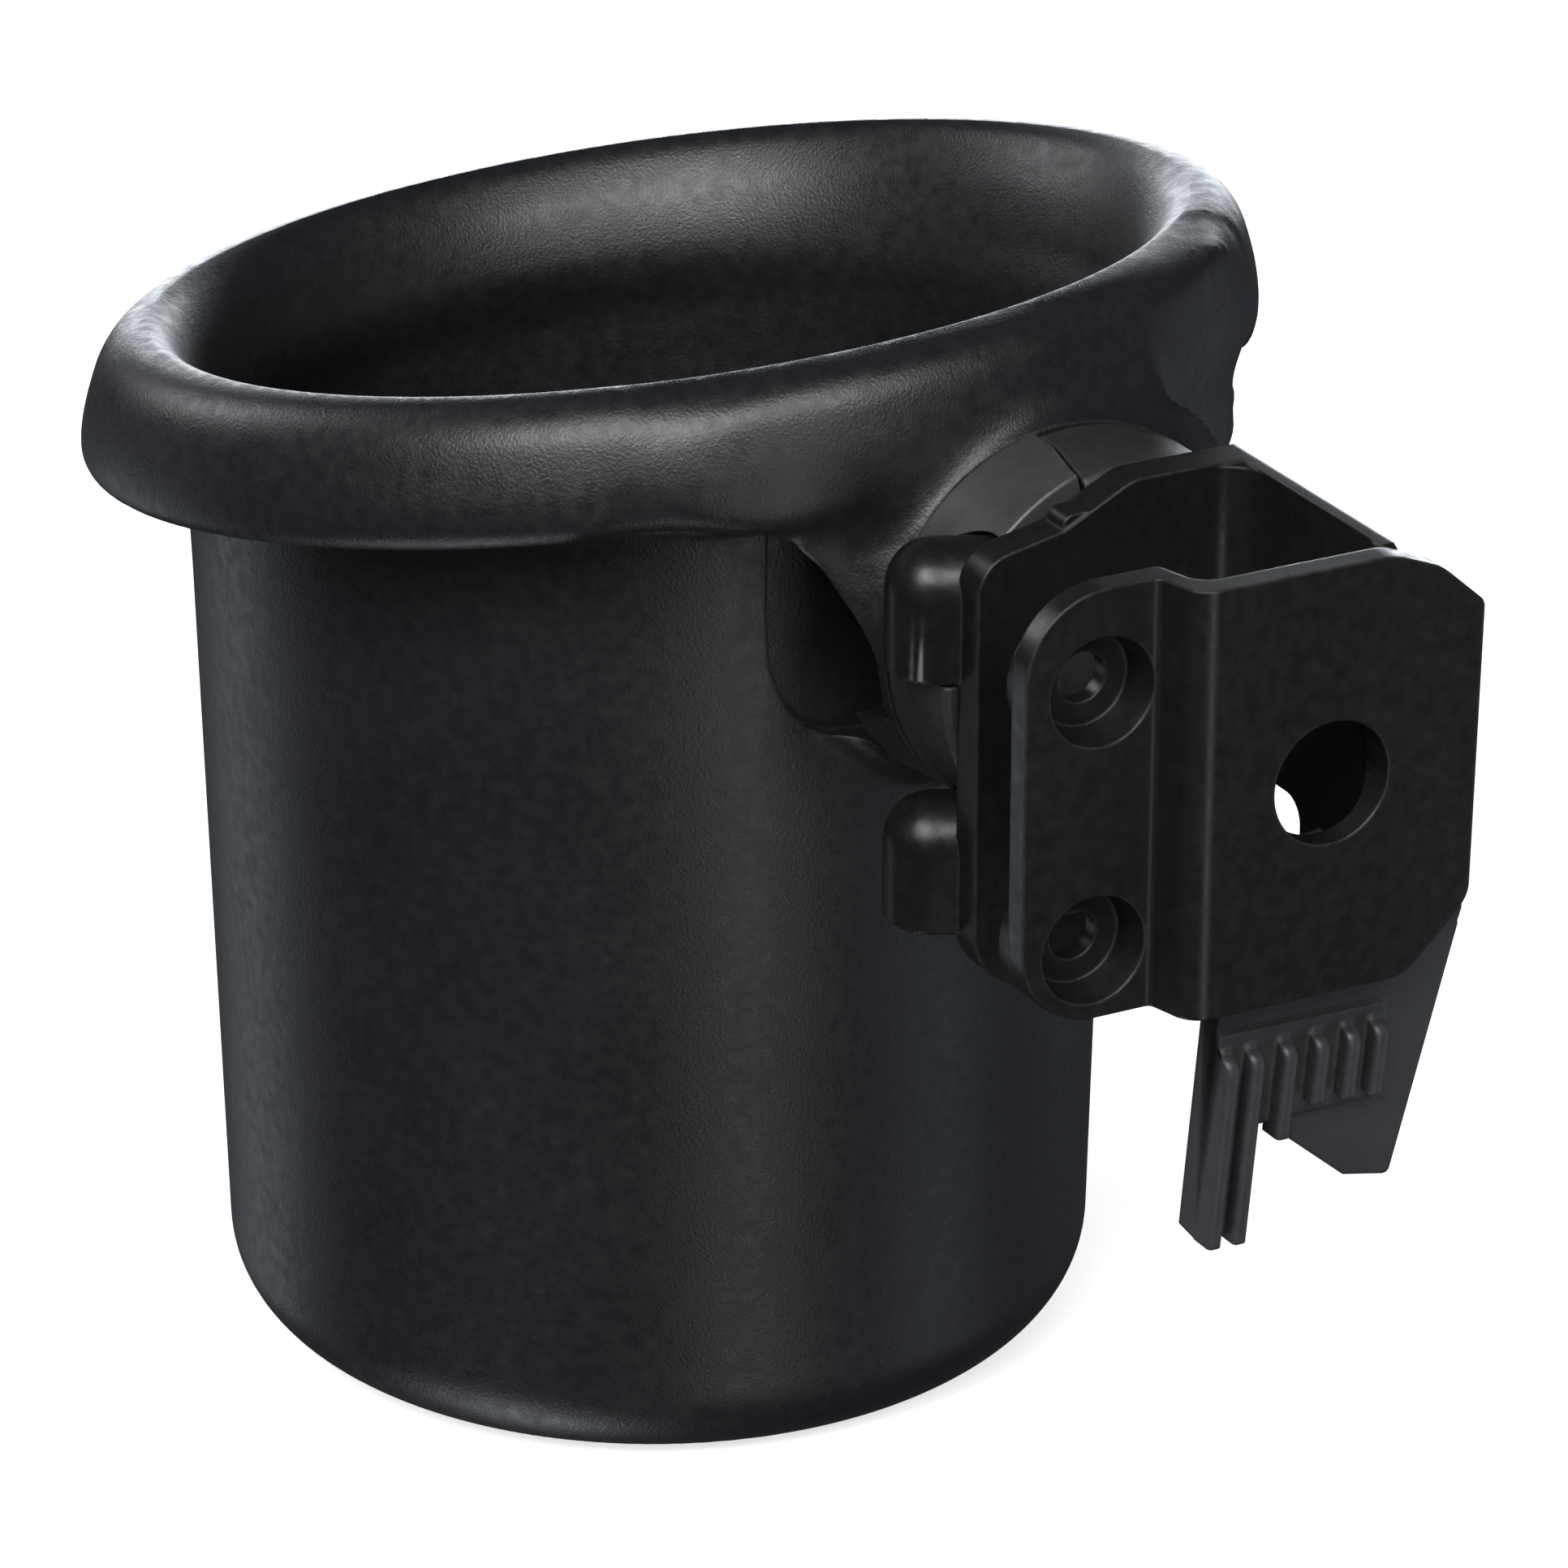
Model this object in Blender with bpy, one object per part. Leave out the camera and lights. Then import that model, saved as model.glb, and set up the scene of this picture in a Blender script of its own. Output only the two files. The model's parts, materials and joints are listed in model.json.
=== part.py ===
"""Cup holder with a swivelling tube clamp.

Frame: origin at the centre of the cup's flat base, +Z up, +X the way the clamp
faces (the swivel axis is parallel to X), +Y the side the clamp's closed wall is
on. Dimensions are in millimetres and angles in degrees unless a comment says
otherwise; make() turns millimetres into the scene's metres. Angles about the
swivel axis run from +Y toward +Z.
"""
import math

import bmesh
import bpy
from mathutils import Matrix, Vector

MM = 0.001

# ---- cup -------------------------------------------------------------------
BASE_R = 42.2            # wall radius carried down to z = 0
TAPER = 0.0207           # radius growth per mm of height
WALL = 2.5
FLOOR = 3.0
BASE_FILLET = 8.9
CAVITY_FILLET = 7.5
WALL_STATIONS = (35.0, 62.0, 78.0)       # heights of the level rings in the wall
TILT_X = math.tan(math.radians(8.65))    # slopes of the rim plane, rising to +X and +Y
TILT_Y = math.tan(math.radians(3.95))
RIM_DX, RIM_DY = 1.83, 0.8               # centre of the rim
CUP_SEG = 80
LIP_DIP = 1.9            # how far the lip's lower edge hangs down beside the neck

# Flare from the wall to the lip: z, radius added to the wall's, share of the rim offset
LIP_ROOT = ((92.2, 0.0, 0.0), (93.2, 0.5, 0.1), (93.6, 1.6, 0.3))
# Outside of the lip, from its lower edge to its crest: radius, z, share of the dip
LIP_OUTSIDE = (
    (52.8, 94.6, 1.0), (54.3, 95.1, 1.0), (55.1, 96.3, 0.75), (55.2, 97.9, 0.45),
    (54.8, 100.2, 0.15), (54.0, 102.9, 0.0), (53.3, 104.6, 0.0), (52.2, 106.1, 0.0),
    (50.6, 107.2, 0.0), (48.6, 107.6, 0.0),
)
# Inside of the lip, up to the same crest: radius, z
LIP_INSIDE = (
    (42.5, 97.6), (43.3, 100.2), (44.5, 103.0), (46.2, 105.7), (47.4, 107.0), (48.6, 107.6),
)

# ---- swivel ----------------------------------------------------------------
AX_Y, AX_Z = 12.0, 89.2  # swivel axis
HUB_R = 18.3
HUB_X0, HUB_X1 = 58.3, 69.2
HUB_SEG = 64
LATCH_A0, LATCH_A1 = 102.0, 152.0        # where the latch ring starts and ends
LATCH_RAMP_END = 105.5
BOLT_R = 3.0
BOLT_HEAD_X = 70.4
SOCKET_FLATS = 4.0
NUT_X0, NUT_X1, NUT_FLATS = 49.2, 53.9, 9.6
WASHER_X0, WASHER_X1 = 54.2, 55.6
WASHER_R, WASHER_HOLE_R = 6.6, 3.2
WAVE_X = 57.85           # mid plane of the wave washer
DETENT_Z = AX_Z - 12.0   # the detent ball sits below the axis
BALL_X, BALL_R = 59.3, 1.5
DETENT_SPRING_X = 63.6

# ---- neck ------------------------------------------------------------------
NECK_X = 58.0            # end face
NECK_CHAMFER = 0.4
NECK_SEG = 72
NECK_STATIONS = (36.0, 44.0, 47.0, 49.0, 50.6, 52.0, 53.2, 54.4, 55.4, 56.4, 57.2,
                 NECK_X - NECK_CHAMFER, NECK_X)
# Spread of the neck beyond the hub radius: angle about the swivel axis, spread
FLARE = ((-90, 0.6), (-8, 0.6), (2, 5.0), (14, 9.5), (30, 12.5), (50, 12.0), (90, 6.0),
         (125, 11.0), (148, 13.5), (172, 13.5), (186, 0.6), (270, 0.6))

# ---- hollows beside and behind the neck ------------------------------------
# Pocket in the cup wall: y, z
WALL_POCKET = (
    (-9.95, 99.0), (-10.0, 88.0), (-9.75, 83.4), (-9.0, 80.7), (-7.9, 78.4), (-6.4, 76.7),
    (-4.0, 75.6), (2.0, 75.0), (2.0, 97.0),
)
# Side hollow, which opens toward -Y behind the neck's end plate: x, z
SIDE_HOLLOW = (
    (43.3, 98.7), (52.3, 99.4), (53.1, 98.3), (54.0, 96.5), (54.9, 94.2), (55.6, 92.6),
    (56.1, 91.3), (56.5, 89.3), (56.7, 86.5), (56.6, 82.1), (43.6, 78.6), (43.3, 79.4),
)
# The same hollow further toward +Y, around the swivel axis: x, z
NECK_HOLLOW = (
    (43.3, 98.0), (51.8, 98.0), (54.0, 95.6), (56.0, 92.0), (56.0, 82.1), (43.6, 78.6),
    (43.3, 79.4),
)

# ---- bosses and inserts ----------------------------------------------------
BOSSES = ((90.4, 102.4), (66.7, 78.5))   # bottom and top of each
BOSS_R = 4.35
BOSS_A, BOSS_B = (65.15, -5.3), (67.6, -0.6)   # ends of the middle line: x, y
BOSS_CHAMFER = 0.4
BOSS_CLEARANCE = 0.35    # gap left round a boss in the hub and the latch ring
INSERTS = (("insert_upper", -4.9, 95.6), ("insert_lower", -4.9, 71.9))   # name, y, z
# Closed section of an insert, with a groove round it: x, radius
INSERT_SECTION = (
    (61.9, 2.0), (62.2, 2.3), (64.2, 2.3), (64.2, 2.05), (64.8, 2.05), (64.8, 2.3),
    (66.8, 2.3), (67.1, 2.0), (67.1, 1.7), (66.8, 1.4), (64.8, 1.4), (64.8, 1.3999),
    (64.2, 1.3999), (64.2, 1.4), (62.2, 1.4), (61.9, 1.7),
)

# ---- bracket ---------------------------------------------------------------
BACK_X0, BACK_X1 = 69.5, 73.0
BACK_Y0, BACK_Y1 = -5.3, 21.8
BACK_Z0, BACK_Z1 = 62.3, 107.8
SIDE_Y0, SIDE_Y1 = 20.7, BACK_Y1
SIDE_X0, SIDE_X1 = 70.0, 97.5
SIDE_Z0 = BACK_Z0 + 6.6
PANEL_X = 98.8           # +X face of the panel
PANEL_T = 2.4
PANEL_BEND_SHIFT = 1.25  # moves the -X line along Y so the bend stays as thick as the flats
SCREW_X = 94.0           # +X face of the screw flange
PANEL_Z0, PANEL_Z1 = 69.0, 108.1
FLANGE_Y0, PANEL_Y1 = -12.5, 29.0
# Corners of the panel and flange seen along X: y, z, rounding radius
PANEL_CORNERS = (
    (FLANGE_Y0, PANEL_Z0 + 0.1, 7.2), (22.4, PANEL_Z0, 4.0), (28.6, 75.2, 3.0),
    (PANEL_Y1, 102.4, 1.3), (24.6, 106.3, 6.0), (20.0, PANEL_Z1, 6.0),
    (FLANGE_Y0, PANEL_Z1, 7.6),
)
# Corners of the back plate: y, z, rounding radius
BACK_CORNERS = (
    (BACK_Y0, BACK_Z0, 5.5), (BACK_Y1, BACK_Z0, 5.5), (BACK_Y1, BACK_Z1, 0),
    (9.8, BACK_Z1, 4), (3.0, 104.3, 2), (BACK_Y0, 102.6, 3.6),
)
CORNER_R = 3.0           # fillets between the side wall and the two plates
CORNER_OVERLAP = 0.5     # how far a fillet reaches into the walls it joins
SCREWS = ((-5.2, 98.9), (-5.6, 75.4))    # y, z
CBORE_R, CBORE_FLOOR = 5.07, 90.4        # counterbore radius, x of its floor
SCREW_HOLE_R = 2.25
INSERT_HOLE_R, INSERT_HOLE_END = 2.45, 67.4
ACCESS_Y, ACCESS_Z, ACCESS_R = 14.4, 88.6, 5.6   # round hole through the panel

# ---- lever -----------------------------------------------------------------
PIN_X, PIN_Z = 92.4, 72.6
PIN_R = 1.5
PIN_Y = 16.0             # origin of the pin and the lever
PIN_PROFILE = ((1.2, 1.2), (1.5, PIN_R), (29.6, PIN_R), (29.9, 1.2))   # y, radius
PIN_SEG = 28             # for the bores round the pin
LUG_R = 3.0
LEVER_SPRING_Y = 12.55
LEVER_TILT = math.radians(7.5)
LEVER_T = 2.9
LEVER_FRONT = 1.7        # +X face, ahead of the pin in the lever's own frame
LEVER_BACK = LEVER_FRONT - LEVER_T
LEVER_Y0 = 7.45
# Corners of the lever plate before it is tilted: y, z, rounding radius
LEVER_CORNERS = (
    (LEVER_Y0, 71.0, 0), (LEVER_Y0, 42.9, 0.3), (11.4, 42.8, 0.3), (11.4, 54.0, 0.3),
    (13.3, 53.9, 0.2), (22.1, 46.3, 0.8), (26.9, 45.2, 0.6), (31.0, 70.3, 0.5),
    (30.6, 71.0, 0.3),
)
# Corners of the raised pad under the ribs: y, z, rounding radius
RIB_PAD_CORNERS = (
    (LEVER_Y0, 64.3, 0.3), (LEVER_Y0, 43.2, 0.3), (11.4, 43.2, 0.3), (11.4, 54.3, 0.3),
    (24.4, 54.3, 0.8), (24.4, 64.0, 0.8),
)
KNUCKLE_R = 2.9
SPRING_GAP = (10.2, 14.9)                # y range left free for the torsion spring
WALL_SLOT = (19.6, 22.2)                 # y range left free for the bracket's side wall
KNUCKLES = ((LEVER_Y0, SPRING_GAP[0]), (SPRING_GAP[1], WALL_SLOT[0]), (WALL_SLOT[1], 30.3))
RIB_H = 2.2
RIB_HALF = 0.7           # half a rib's width
RIB_CHAMFER = 0.35
RIB_TOP, RIB_TOP_R = 61.7, 1.5
# Ribs: y of the middle, z of the lower end
RIBS = ((8.15, 43.0), (10.7, 42.9), (14.0, 53.0), (17.25, 55.9), (20.4, 55.7), (23.2, 55.4))

# ---- materials -------------------------------------------------------------
MATERIALS = {
    "cup_black": dict(color=(0.012, 0.013, 0.016), roughness=0.42),
    "clamp_black": dict(color=(0.018, 0.017, 0.016), roughness=0.45),
    "hub_black": dict(color=(0.02, 0.019, 0.018), roughness=0.38),
    "latch_black": dict(color=(0.03, 0.03, 0.03), roughness=0.25),
    "lever_black": dict(color=(0.017, 0.016, 0.015), roughness=0.42),
    "steel": dict(color=(0.55, 0.55, 0.56), roughness=0.32, metallic=1.0),
    "spring_steel": dict(color=(0.42, 0.42, 0.44), roughness=0.35, metallic=1.0),
    "brass": dict(color=(0.72, 0.53, 0.25), roughness=0.35, metallic=1.0),
    "rubber": dict(color=(0.01, 0.01, 0.01), roughness=0.8),
}


def clear_scene():
    for obj in list(bpy.data.objects):
        bpy.data.objects.remove(obj, do_unlink=True)
    for mesh in list(bpy.data.meshes):
        bpy.data.meshes.remove(mesh)


def material(name, color, roughness, metallic=0.0):
    mat = bpy.data.materials.new(name)
    mat.use_nodes = True
    shader = next(node for node in mat.node_tree.nodes if node.type == "BSDF_PRINCIPLED")
    shader.inputs["Base Color"].default_value = (*color, 1.0)
    shader.inputs["Roughness"].default_value = roughness
    shader.inputs["Metallic"].default_value = metallic
    mat.diffuse_color = (*color, 1.0)
    return mat


# ---- meshes from rings -----------------------------------------------------
def make(name, verts, faces):
    """An object from points in millimetres, its faces turned outwards."""
    mesh = bpy.data.meshes.new(name)
    mesh.from_pydata([Vector(vert) * MM for vert in verts], [], faces)
    bm = bmesh.new()
    bm.from_mesh(mesh)
    bmesh.ops.recalc_face_normals(bm, faces=bm.faces)
    bm.to_mesh(mesh)
    bm.free()
    obj = bpy.data.objects.new(name, mesh)
    bpy.context.scene.collection.objects.link(obj)
    return obj


def loft(name, rings):
    """A closed solid through rings of equal point counts. A ring of one point is a pole."""
    verts, faces, starts = [], [], []
    for ring in rings:
        starts.append(len(verts))
        verts.extend(ring)
    for a, b, ring_a, ring_b in zip(starts, starts[1:], rings, rings[1:]):
        count = max(len(ring_a), len(ring_b))
        for i in range(count):
            j = (i + 1) % count
            if len(ring_a) == 1:
                faces.append((a, b + i, b + j))
            elif len(ring_b) == 1:
                faces.append((a + i, b, a + j))
            else:
                faces.append((a + i, b + i, b + j, a + j))
    for start, ring in ((starts[0], rings[0]), (starts[-1], rings[-1])):
        if len(ring) > 1:
            faces.append(tuple(start + i for i in range(len(ring))))
    return make(name, verts, faces)


def looped_loft(name, rings):
    """A solid through rings of equal point counts, the last joined to the first."""
    count = len(rings[0])
    faces = []
    for k in range(len(rings)):
        a, b = k * count, ((k + 1) % len(rings)) * count
        for i in range(count):
            j = (i + 1) % count
            faces.append((a + i, b + i, b + j, a + j))
    return make(name, [point for ring in rings for point in ring], faces)


def rounded(points, radii, steps=5):
    """A polygon with its corners rounded by one radius, or by a radius for each."""
    if not isinstance(radii, (list, tuple)):
        radii = [radii] * len(points)
    outline = []
    for i, radius in enumerate(radii):
        corner = Vector(points[i])
        to_last = (Vector(points[i - 1]) - corner).normalized()
        to_next = (Vector(points[(i + 1) % len(points)]) - corner).normalized()
        if radius == 0:
            outline.append(tuple(corner))
            continue
        half = to_last.angle(to_next) / 2
        centre = corner + (to_last + to_next).normalized() * (radius / math.sin(half))
        start = corner + to_last * (radius / math.tan(half)) - centre
        end = corner + to_next * (radius / math.tan(half)) - centre
        turn = math.atan2(start.x * end.y - start.y * end.x, start.dot(end))
        for k in range(steps + 1):
            cos, sin = math.cos(turn * k / steps), math.sin(turn * k / steps)
            outline.append((centre.x + start.x * cos - start.y * sin,
                            centre.y + start.x * sin + start.y * cos))
    return outline


def rounded_table(corners, steps):
    """The rounded outline of a table whose last column is the radius."""
    return rounded([corner[:2] for corner in corners], [corner[2] for corner in corners], steps)


def circle(centre_a, centre_b, radius, seg):
    return [(centre_a + radius * math.cos(2 * math.pi * i / seg),
             centre_b + radius * math.sin(2 * math.pi * i / seg)) for i in range(seg)]


def hexagon(centre_y, centre_z, flats):
    return circle(centre_y, centre_z, flats / math.sqrt(3), 6)


def rectangle(a0, a1, b0, b1):
    return [(a0, b0), (a1, b0), (a1, b1), (a0, b1)]


def prism_x(name, outline, x0, x1):
    return loft(name, [[(x, y, z) for y, z in outline] for x in (x0, x1)])


def prism_y(name, outline, y0, y1):
    return loft(name, [[(x, y, z) for x, z in outline] for y in (y0, y1)])


def prism_z(name, outline, z0, z1):
    return loft(name, [[(x, y, z) for x, y in outline] for z in (z0, z1)])


def circles_x(centre_y, centre_z, profile, seg):
    """Circles square to X, one for each (x, radius) of the profile."""
    return [[(x, y, z) for y, z in circle(centre_y, centre_z, radius, seg)]
            for x, radius in profile]


def turned_x(name, centre_y, centre_z, profile, seg):
    """A solid of revolution about a line parallel to X, with flat ends."""
    first, last = profile[0][0], profile[-1][0]
    return loft(name, [[(first, centre_y, centre_z)],
                       *circles_x(centre_y, centre_z, profile, seg),
                       [(last, centre_y, centre_z)]])


def tube_x(name, centre_y, centre_z, section, seg):
    """A closed (x, radius) section turned about a line parallel to X."""
    return looped_loft(name, circles_x(centre_y, centre_z, section, seg))


def coil(name, centre, axis, radius, wire_r, turns, length, turn_steps=14, sides=7):
    """A helical wire with closed ends, about an axis through centre."""
    along = Vector(axis).normalized()
    side_a = along.orthogonal().normalized()
    side_b = along.cross(side_a)
    rings = []
    steps = int(turns * turn_steps)
    for k in range(steps + 1):
        angle = 2 * math.pi * turns * k / steps
        radial = side_a * math.cos(angle) + side_b * math.sin(angle)
        middle = Vector(centre) + along * (length * (k / steps - 0.5)) + radial * radius
        rings.append([tuple(middle + radial * across + along * forward)
                      for across, forward in circle(0.0, 0.0, wire_r, sides)])
    return loft(name, rings)


# ---- solids combined and finished ------------------------------------------
def combine(obj, other, operation):
    """Apply a Boolean to obj; the other solid is used up."""
    mod = obj.modifiers.new(operation.lower(), "BOOLEAN")
    mod.operation = operation
    mod.solver = "EXACT"
    mod.object = other
    bpy.context.view_layer.update()
    graph = bpy.context.evaluated_depsgraph_get()
    mesh = bpy.data.meshes.new_from_object(obj.evaluated_get(graph))
    obj.modifiers.clear()
    old = obj.data
    obj.data = mesh
    bpy.data.meshes.remove(old)
    bm = bmesh.new()
    bm.from_mesh(mesh)
    bmesh.ops.remove_doubles(bm, verts=bm.verts, dist=3e-7)
    bm.to_mesh(mesh)
    bm.free()
    bpy.data.objects.remove(other, do_unlink=True)


def cut(obj, *others):
    for other in others:
        combine(obj, other, "DIFFERENCE")


def join(obj, *others):
    for other in others:
        combine(obj, other, "UNION")


def finish(obj, mat, origin, sharp=35):
    """Set shading and material, and move the origin to a point in millimetres."""
    obj.data.materials.clear()
    obj.data.materials.append(mat)
    place = Vector(origin) * MM
    obj.data.transform(Matrix.Translation(-place))
    obj.location = place
    obj.data.shade_smooth()
    obj.data.set_sharp_from_angle(angle=math.radians(sharp))
    return obj


def add_axis(name, place):
    empty = bpy.data.objects.new(name, None)
    empty.location = Vector(place) * MM
    bpy.context.scene.collection.objects.link(empty)
    return empty


def attach(obj, parent):
    """Parent obj without moving it."""
    obj.parent = parent
    obj.matrix_parent_inverse = parent.matrix_world.inverted()


def ease(t):
    """A smooth step from 0 to 1."""
    t = min(1.0, max(0.0, t))
    return t * t * (3 - 2 * t)


def swivel_point(x, radius, angle):
    """A point about the swivel axis; the angle is in radians."""
    return (x, AX_Y + radius * math.cos(angle), AX_Z + radius * math.sin(angle))


# ---- cup body --------------------------------------------------------------
def wall_r(z):
    return BASE_R + TAPER * z


def rim_rise(x, y):
    return x * TILT_X + y * TILT_Y


def dip(azimuth):
    """Share of the dip in the lip's lower edge, 0 to 1; the azimuth is in radians."""
    deg = (math.degrees(azimuth) + 180) % 360 - 180
    return ease((deg + 27) / 11) * ease((84 - deg) / 22)


def cup_ring(radius, z, slant=0, shift=0, hang=0):
    """One ring; slant 1 lays it parallel to the rim plane, shift 1 centres it on the rim."""
    ring = []
    for i in range(CUP_SEG):
        azimuth = 2 * math.pi * i / CUP_SEG
        x = radius * math.cos(azimuth) + shift * RIM_DX
        y = radius * math.sin(azimuth) + shift * RIM_DY
        ring.append((x, y, z + slant * rim_rise(x, y) - hang * LIP_DIP * dip(azimuth)))
    return ring


def lower_rings(floor, inset, fillet, steps):
    """The floor's pole, the fillet round the floor and the wall, set in from the outside."""
    centre_z = floor + fillet
    centre_r = wall_r(centre_z) - inset - fillet
    rings = [[(0.0, 0.0, floor)]]
    for k in range(steps + 1):
        angle = math.radians(-90 + 90 * k / steps)
        rings.append(cup_ring(centre_r + fillet * math.cos(angle),
                              centre_z + fillet * math.sin(angle)))
    return rings + [cup_ring(wall_r(z) - inset, z) for z in WALL_STATIONS]


def cup_outside():
    rings = lower_rings(0.0, 0.0, BASE_FILLET, 6)
    rings += [cup_ring(wall_r(z) + added, z, 1, shift, 1) for z, added, shift in LIP_ROOT]
    rings += [cup_ring(radius, z, 1, 1, hang) for radius, z, hang in LIP_OUTSIDE]
    return loft("cup_body", [*rings, [(0.0, 0.0, LIP_OUTSIDE[-1][1])]])


def cavity():
    """The hollow, its top run past the rim."""
    rings = lower_rings(FLOOR, WALL, CAVITY_FILLET, 5)
    rings.append(cup_ring(wall_r(90.0) - WALL, 90.0, 1))
    rings.append(cup_ring(41.75, 94.4, 1, 0.55))
    rings += [cup_ring(radius, z, 1, 1) for radius, z in LIP_INSIDE]
    rings.append(cup_ring(48.7, 109.5, 1, 1))
    return loft("cavity", [*rings, [(0.0, 0.0, 112.0)]])


def flare(deg):
    """Spread of the neck at an angle, eased between the stations of FLARE."""
    deg = (deg + 90) % 360 - 90
    (deg0, spread0), (deg1, spread1) = next(
        pair for pair in zip(FLARE, FLARE[1:]) if deg <= pair[1][0])
    return spread0 + (spread1 - spread0) * ease((deg - deg0) / (deg1 - deg0))


def neck_radius(x, deg):
    angle = math.radians(deg)
    # the spread toward +Y leaves the stub later and faster
    power = 1.7 + 1.3 * max(0.0, math.cos(angle)) ** 0.5
    growth = min(1.7, max(0.0, (NECK_X - x) / 7.0) ** power)
    radius = HUB_R + flare(deg) * growth - (NECK_CHAMFER if x == NECK_X else 0.0)

    def outside_lip():
        _, y, _ = swivel_point(x, radius, angle)
        return math.hypot(x - RIM_DX, y - RIM_DY) > 54.2

    # stay inside the lip's outer edge
    while x < 53 and radius > HUB_R and outside_lip():
        radius -= 0.25
    return radius


def neck():
    """The round stub the clamp turns on, spreading into the lip on both sides."""
    degrees = [360 * i / NECK_SEG for i in range(NECK_SEG)]
    return loft("neck", [
        [swivel_point(x, neck_radius(x, deg), math.radians(deg)) for deg in degrees]
        for x in NECK_STATIONS])


def under_lip(x0, x1, y0, y1):
    """The space below the lip's underside over a rectangle in plan."""
    dip_y0, dip_y1 = -23.0, -15.0        # the underside dips between these
    rings = []
    for y in [y0, *(y for y in (dip_y0, dip_y1) if y0 < y < y1), y1]:
        top = 95.1 - LIP_DIP * min(1.0, max(0.0, (y - dip_y0) / (dip_y1 - dip_y0)))
        rings.append([(x0, y, 50.0), (x1, y, 50.0),
                      (x1, y, top + rim_rise(x1, y)), (x0, y, top + rim_rise(x0, y))])
    return loft("under_lip", rings)


def wall_pocket():
    """A shallow pocket in the outside of the wall beside the neck."""
    pocket = prism_x("pocket", WALL_POCKET, 36.0, 50.0)
    cut(pocket, prism_z("core", circle(0, 0, 42.7, 64), 60.0, 120.0))
    return pocket


def build_cup():
    body = cup_outside()
    stub = neck()
    # keep the neck under the lip's crest, and its spread clear of the space below the lip
    cut(stub,
        loft("lid", [cup_ring(75, 106.4, 1, 1), cup_ring(75, 140.0, 1, 1)]),
        under_lip(20.0, 52.35, -70.0, -6.7),
        under_lip(20.0, 37.0, 40.0, 90.0))
    join(body, stub)
    cut(body,
        cavity(),
        prism_y("side_hollow", SIDE_HOLLOW, -16.9, -1.0),
        wall_pocket(),
        prism_y("neck_hollow", NECK_HOLLOW, -3.0, 19.5),
        # room for the nut and its washer
        turned_x("nut_room", AX_Y, AX_Z, ((46.4, 7.1), (56.0, 7.1)), 36),
        # bolt bore with the seat for the spring washer
        turned_x("bore", AX_Y, AX_Z, ((52.0, BOLT_R + 0.15), (57.2, BOLT_R + 0.15),
                                      (57.2, 7.6), (60.0, 7.6)), 32),
        # the ball's running groove
        tube_x("groove", AX_Y, AX_Z, rectangle(57.3, 59.0, 13.2, 10.8), 40))
    return body


# ---- swivel stack ----------------------------------------------------------
def sector(name, inner_r, outer_r, deg0, deg1, back_x, front_x, steps):
    """Part of a ring about the swivel axis; front_x gives its +X face at each angle."""
    rings = []
    for k in range(steps + 1):
        deg = deg0 + (deg1 - deg0) * k / steps
        section = ((back_x, outer_r), (back_x, inner_r),
                   (front_x(deg), inner_r), (front_x(deg), outer_r))
        rings.append([swivel_point(x, radius, math.radians(deg)) for x, radius in section])
    return loft(name, rings)


def boss_solid(name, z0, z1, grow=0.0):
    """An upright post with a domed top, long and round-ended in plan."""
    along = math.atan2(BOSS_B[1] - BOSS_A[1], BOSS_B[0] - BOSS_A[0])
    full_r = BOSS_R + grow
    bottom = z0 - grow
    levels = [(bottom, full_r - BOSS_CHAMFER), (bottom + BOSS_CHAMFER, full_r)]
    for deg in (0, 18, 36, 54, 70, 82):
        angle = math.radians(deg)
        levels.append((z1 - BOSS_R + full_r * math.sin(angle), full_r * math.cos(angle)))
    rings = []
    for z, radius in levels:
        ring = []
        for (x, y), start in ((BOSS_A, along + math.pi / 2), (BOSS_B, along - math.pi / 2)):
            for k in range(13):
                angle = start + math.pi * k / 12
                ring.append((x + radius * math.cos(angle), y + radius * math.sin(angle), z))
        rings.append(ring)
    return loft(name, rings)


def build_hub():
    hub = turned_x("swivel_hub", AX_Y, AX_Z, (
        (HUB_X0, HUB_R - 0.5), (HUB_X0 + 0.5, HUB_R),
        (HUB_X1 - 0.4, HUB_R), (HUB_X1, HUB_R - 0.4)), HUB_SEG)
    slot_start, slot_end = LATCH_A0 - 1.0, LATCH_A1 + 1.0

    def slot_front(deg):
        """The slot's end slopes at first, then runs out through the hub."""
        return 80.0 if deg > 107.5 else 61.9 + 1.55 * (deg - slot_start)

    cut(hub, sector("slot", 15.2, 22.0, slot_start, slot_end, 50.0, slot_front, 52))
    cut(hub, *[boss_solid("pocket", z0, z1, BOSS_CLEARANCE) for z0, z1 in BOSSES])
    cut(hub, turned_x("bore", AX_Y, AX_Z, ((50, BOLT_R + 0.1), (80, BOLT_R + 0.1)), 28))
    # well for the detent ball and its spring
    cut(hub, turned_x("well", AX_Y, DETENT_Z, ((50, 1.65), (66.5, 1.65)), 20))
    return hub


def latch_front(deg):
    """The latch ring's +X face: a steep ramp, then a gentle rise to a flat."""
    turned = deg - LATCH_A0
    if deg < LATCH_RAMP_END:
        return 61.6 + 5.4 * turned / (LATCH_RAMP_END - LATCH_A0)
    return min(68.1 + 1.1 * turned / (LATCH_A1 - LATCH_A0), 69.15)


def build_latch():
    """A ring segment standing slightly proud of the hub's rim."""
    latch = sector("latch_ring", 15.5, HUB_R + 0.25, LATCH_A0, LATCH_A1, HUB_X0,
                   latch_front, 30)
    cut(latch, boss_solid("pocket", *BOSSES[0], BOSS_CLEARANCE))
    return latch


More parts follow.
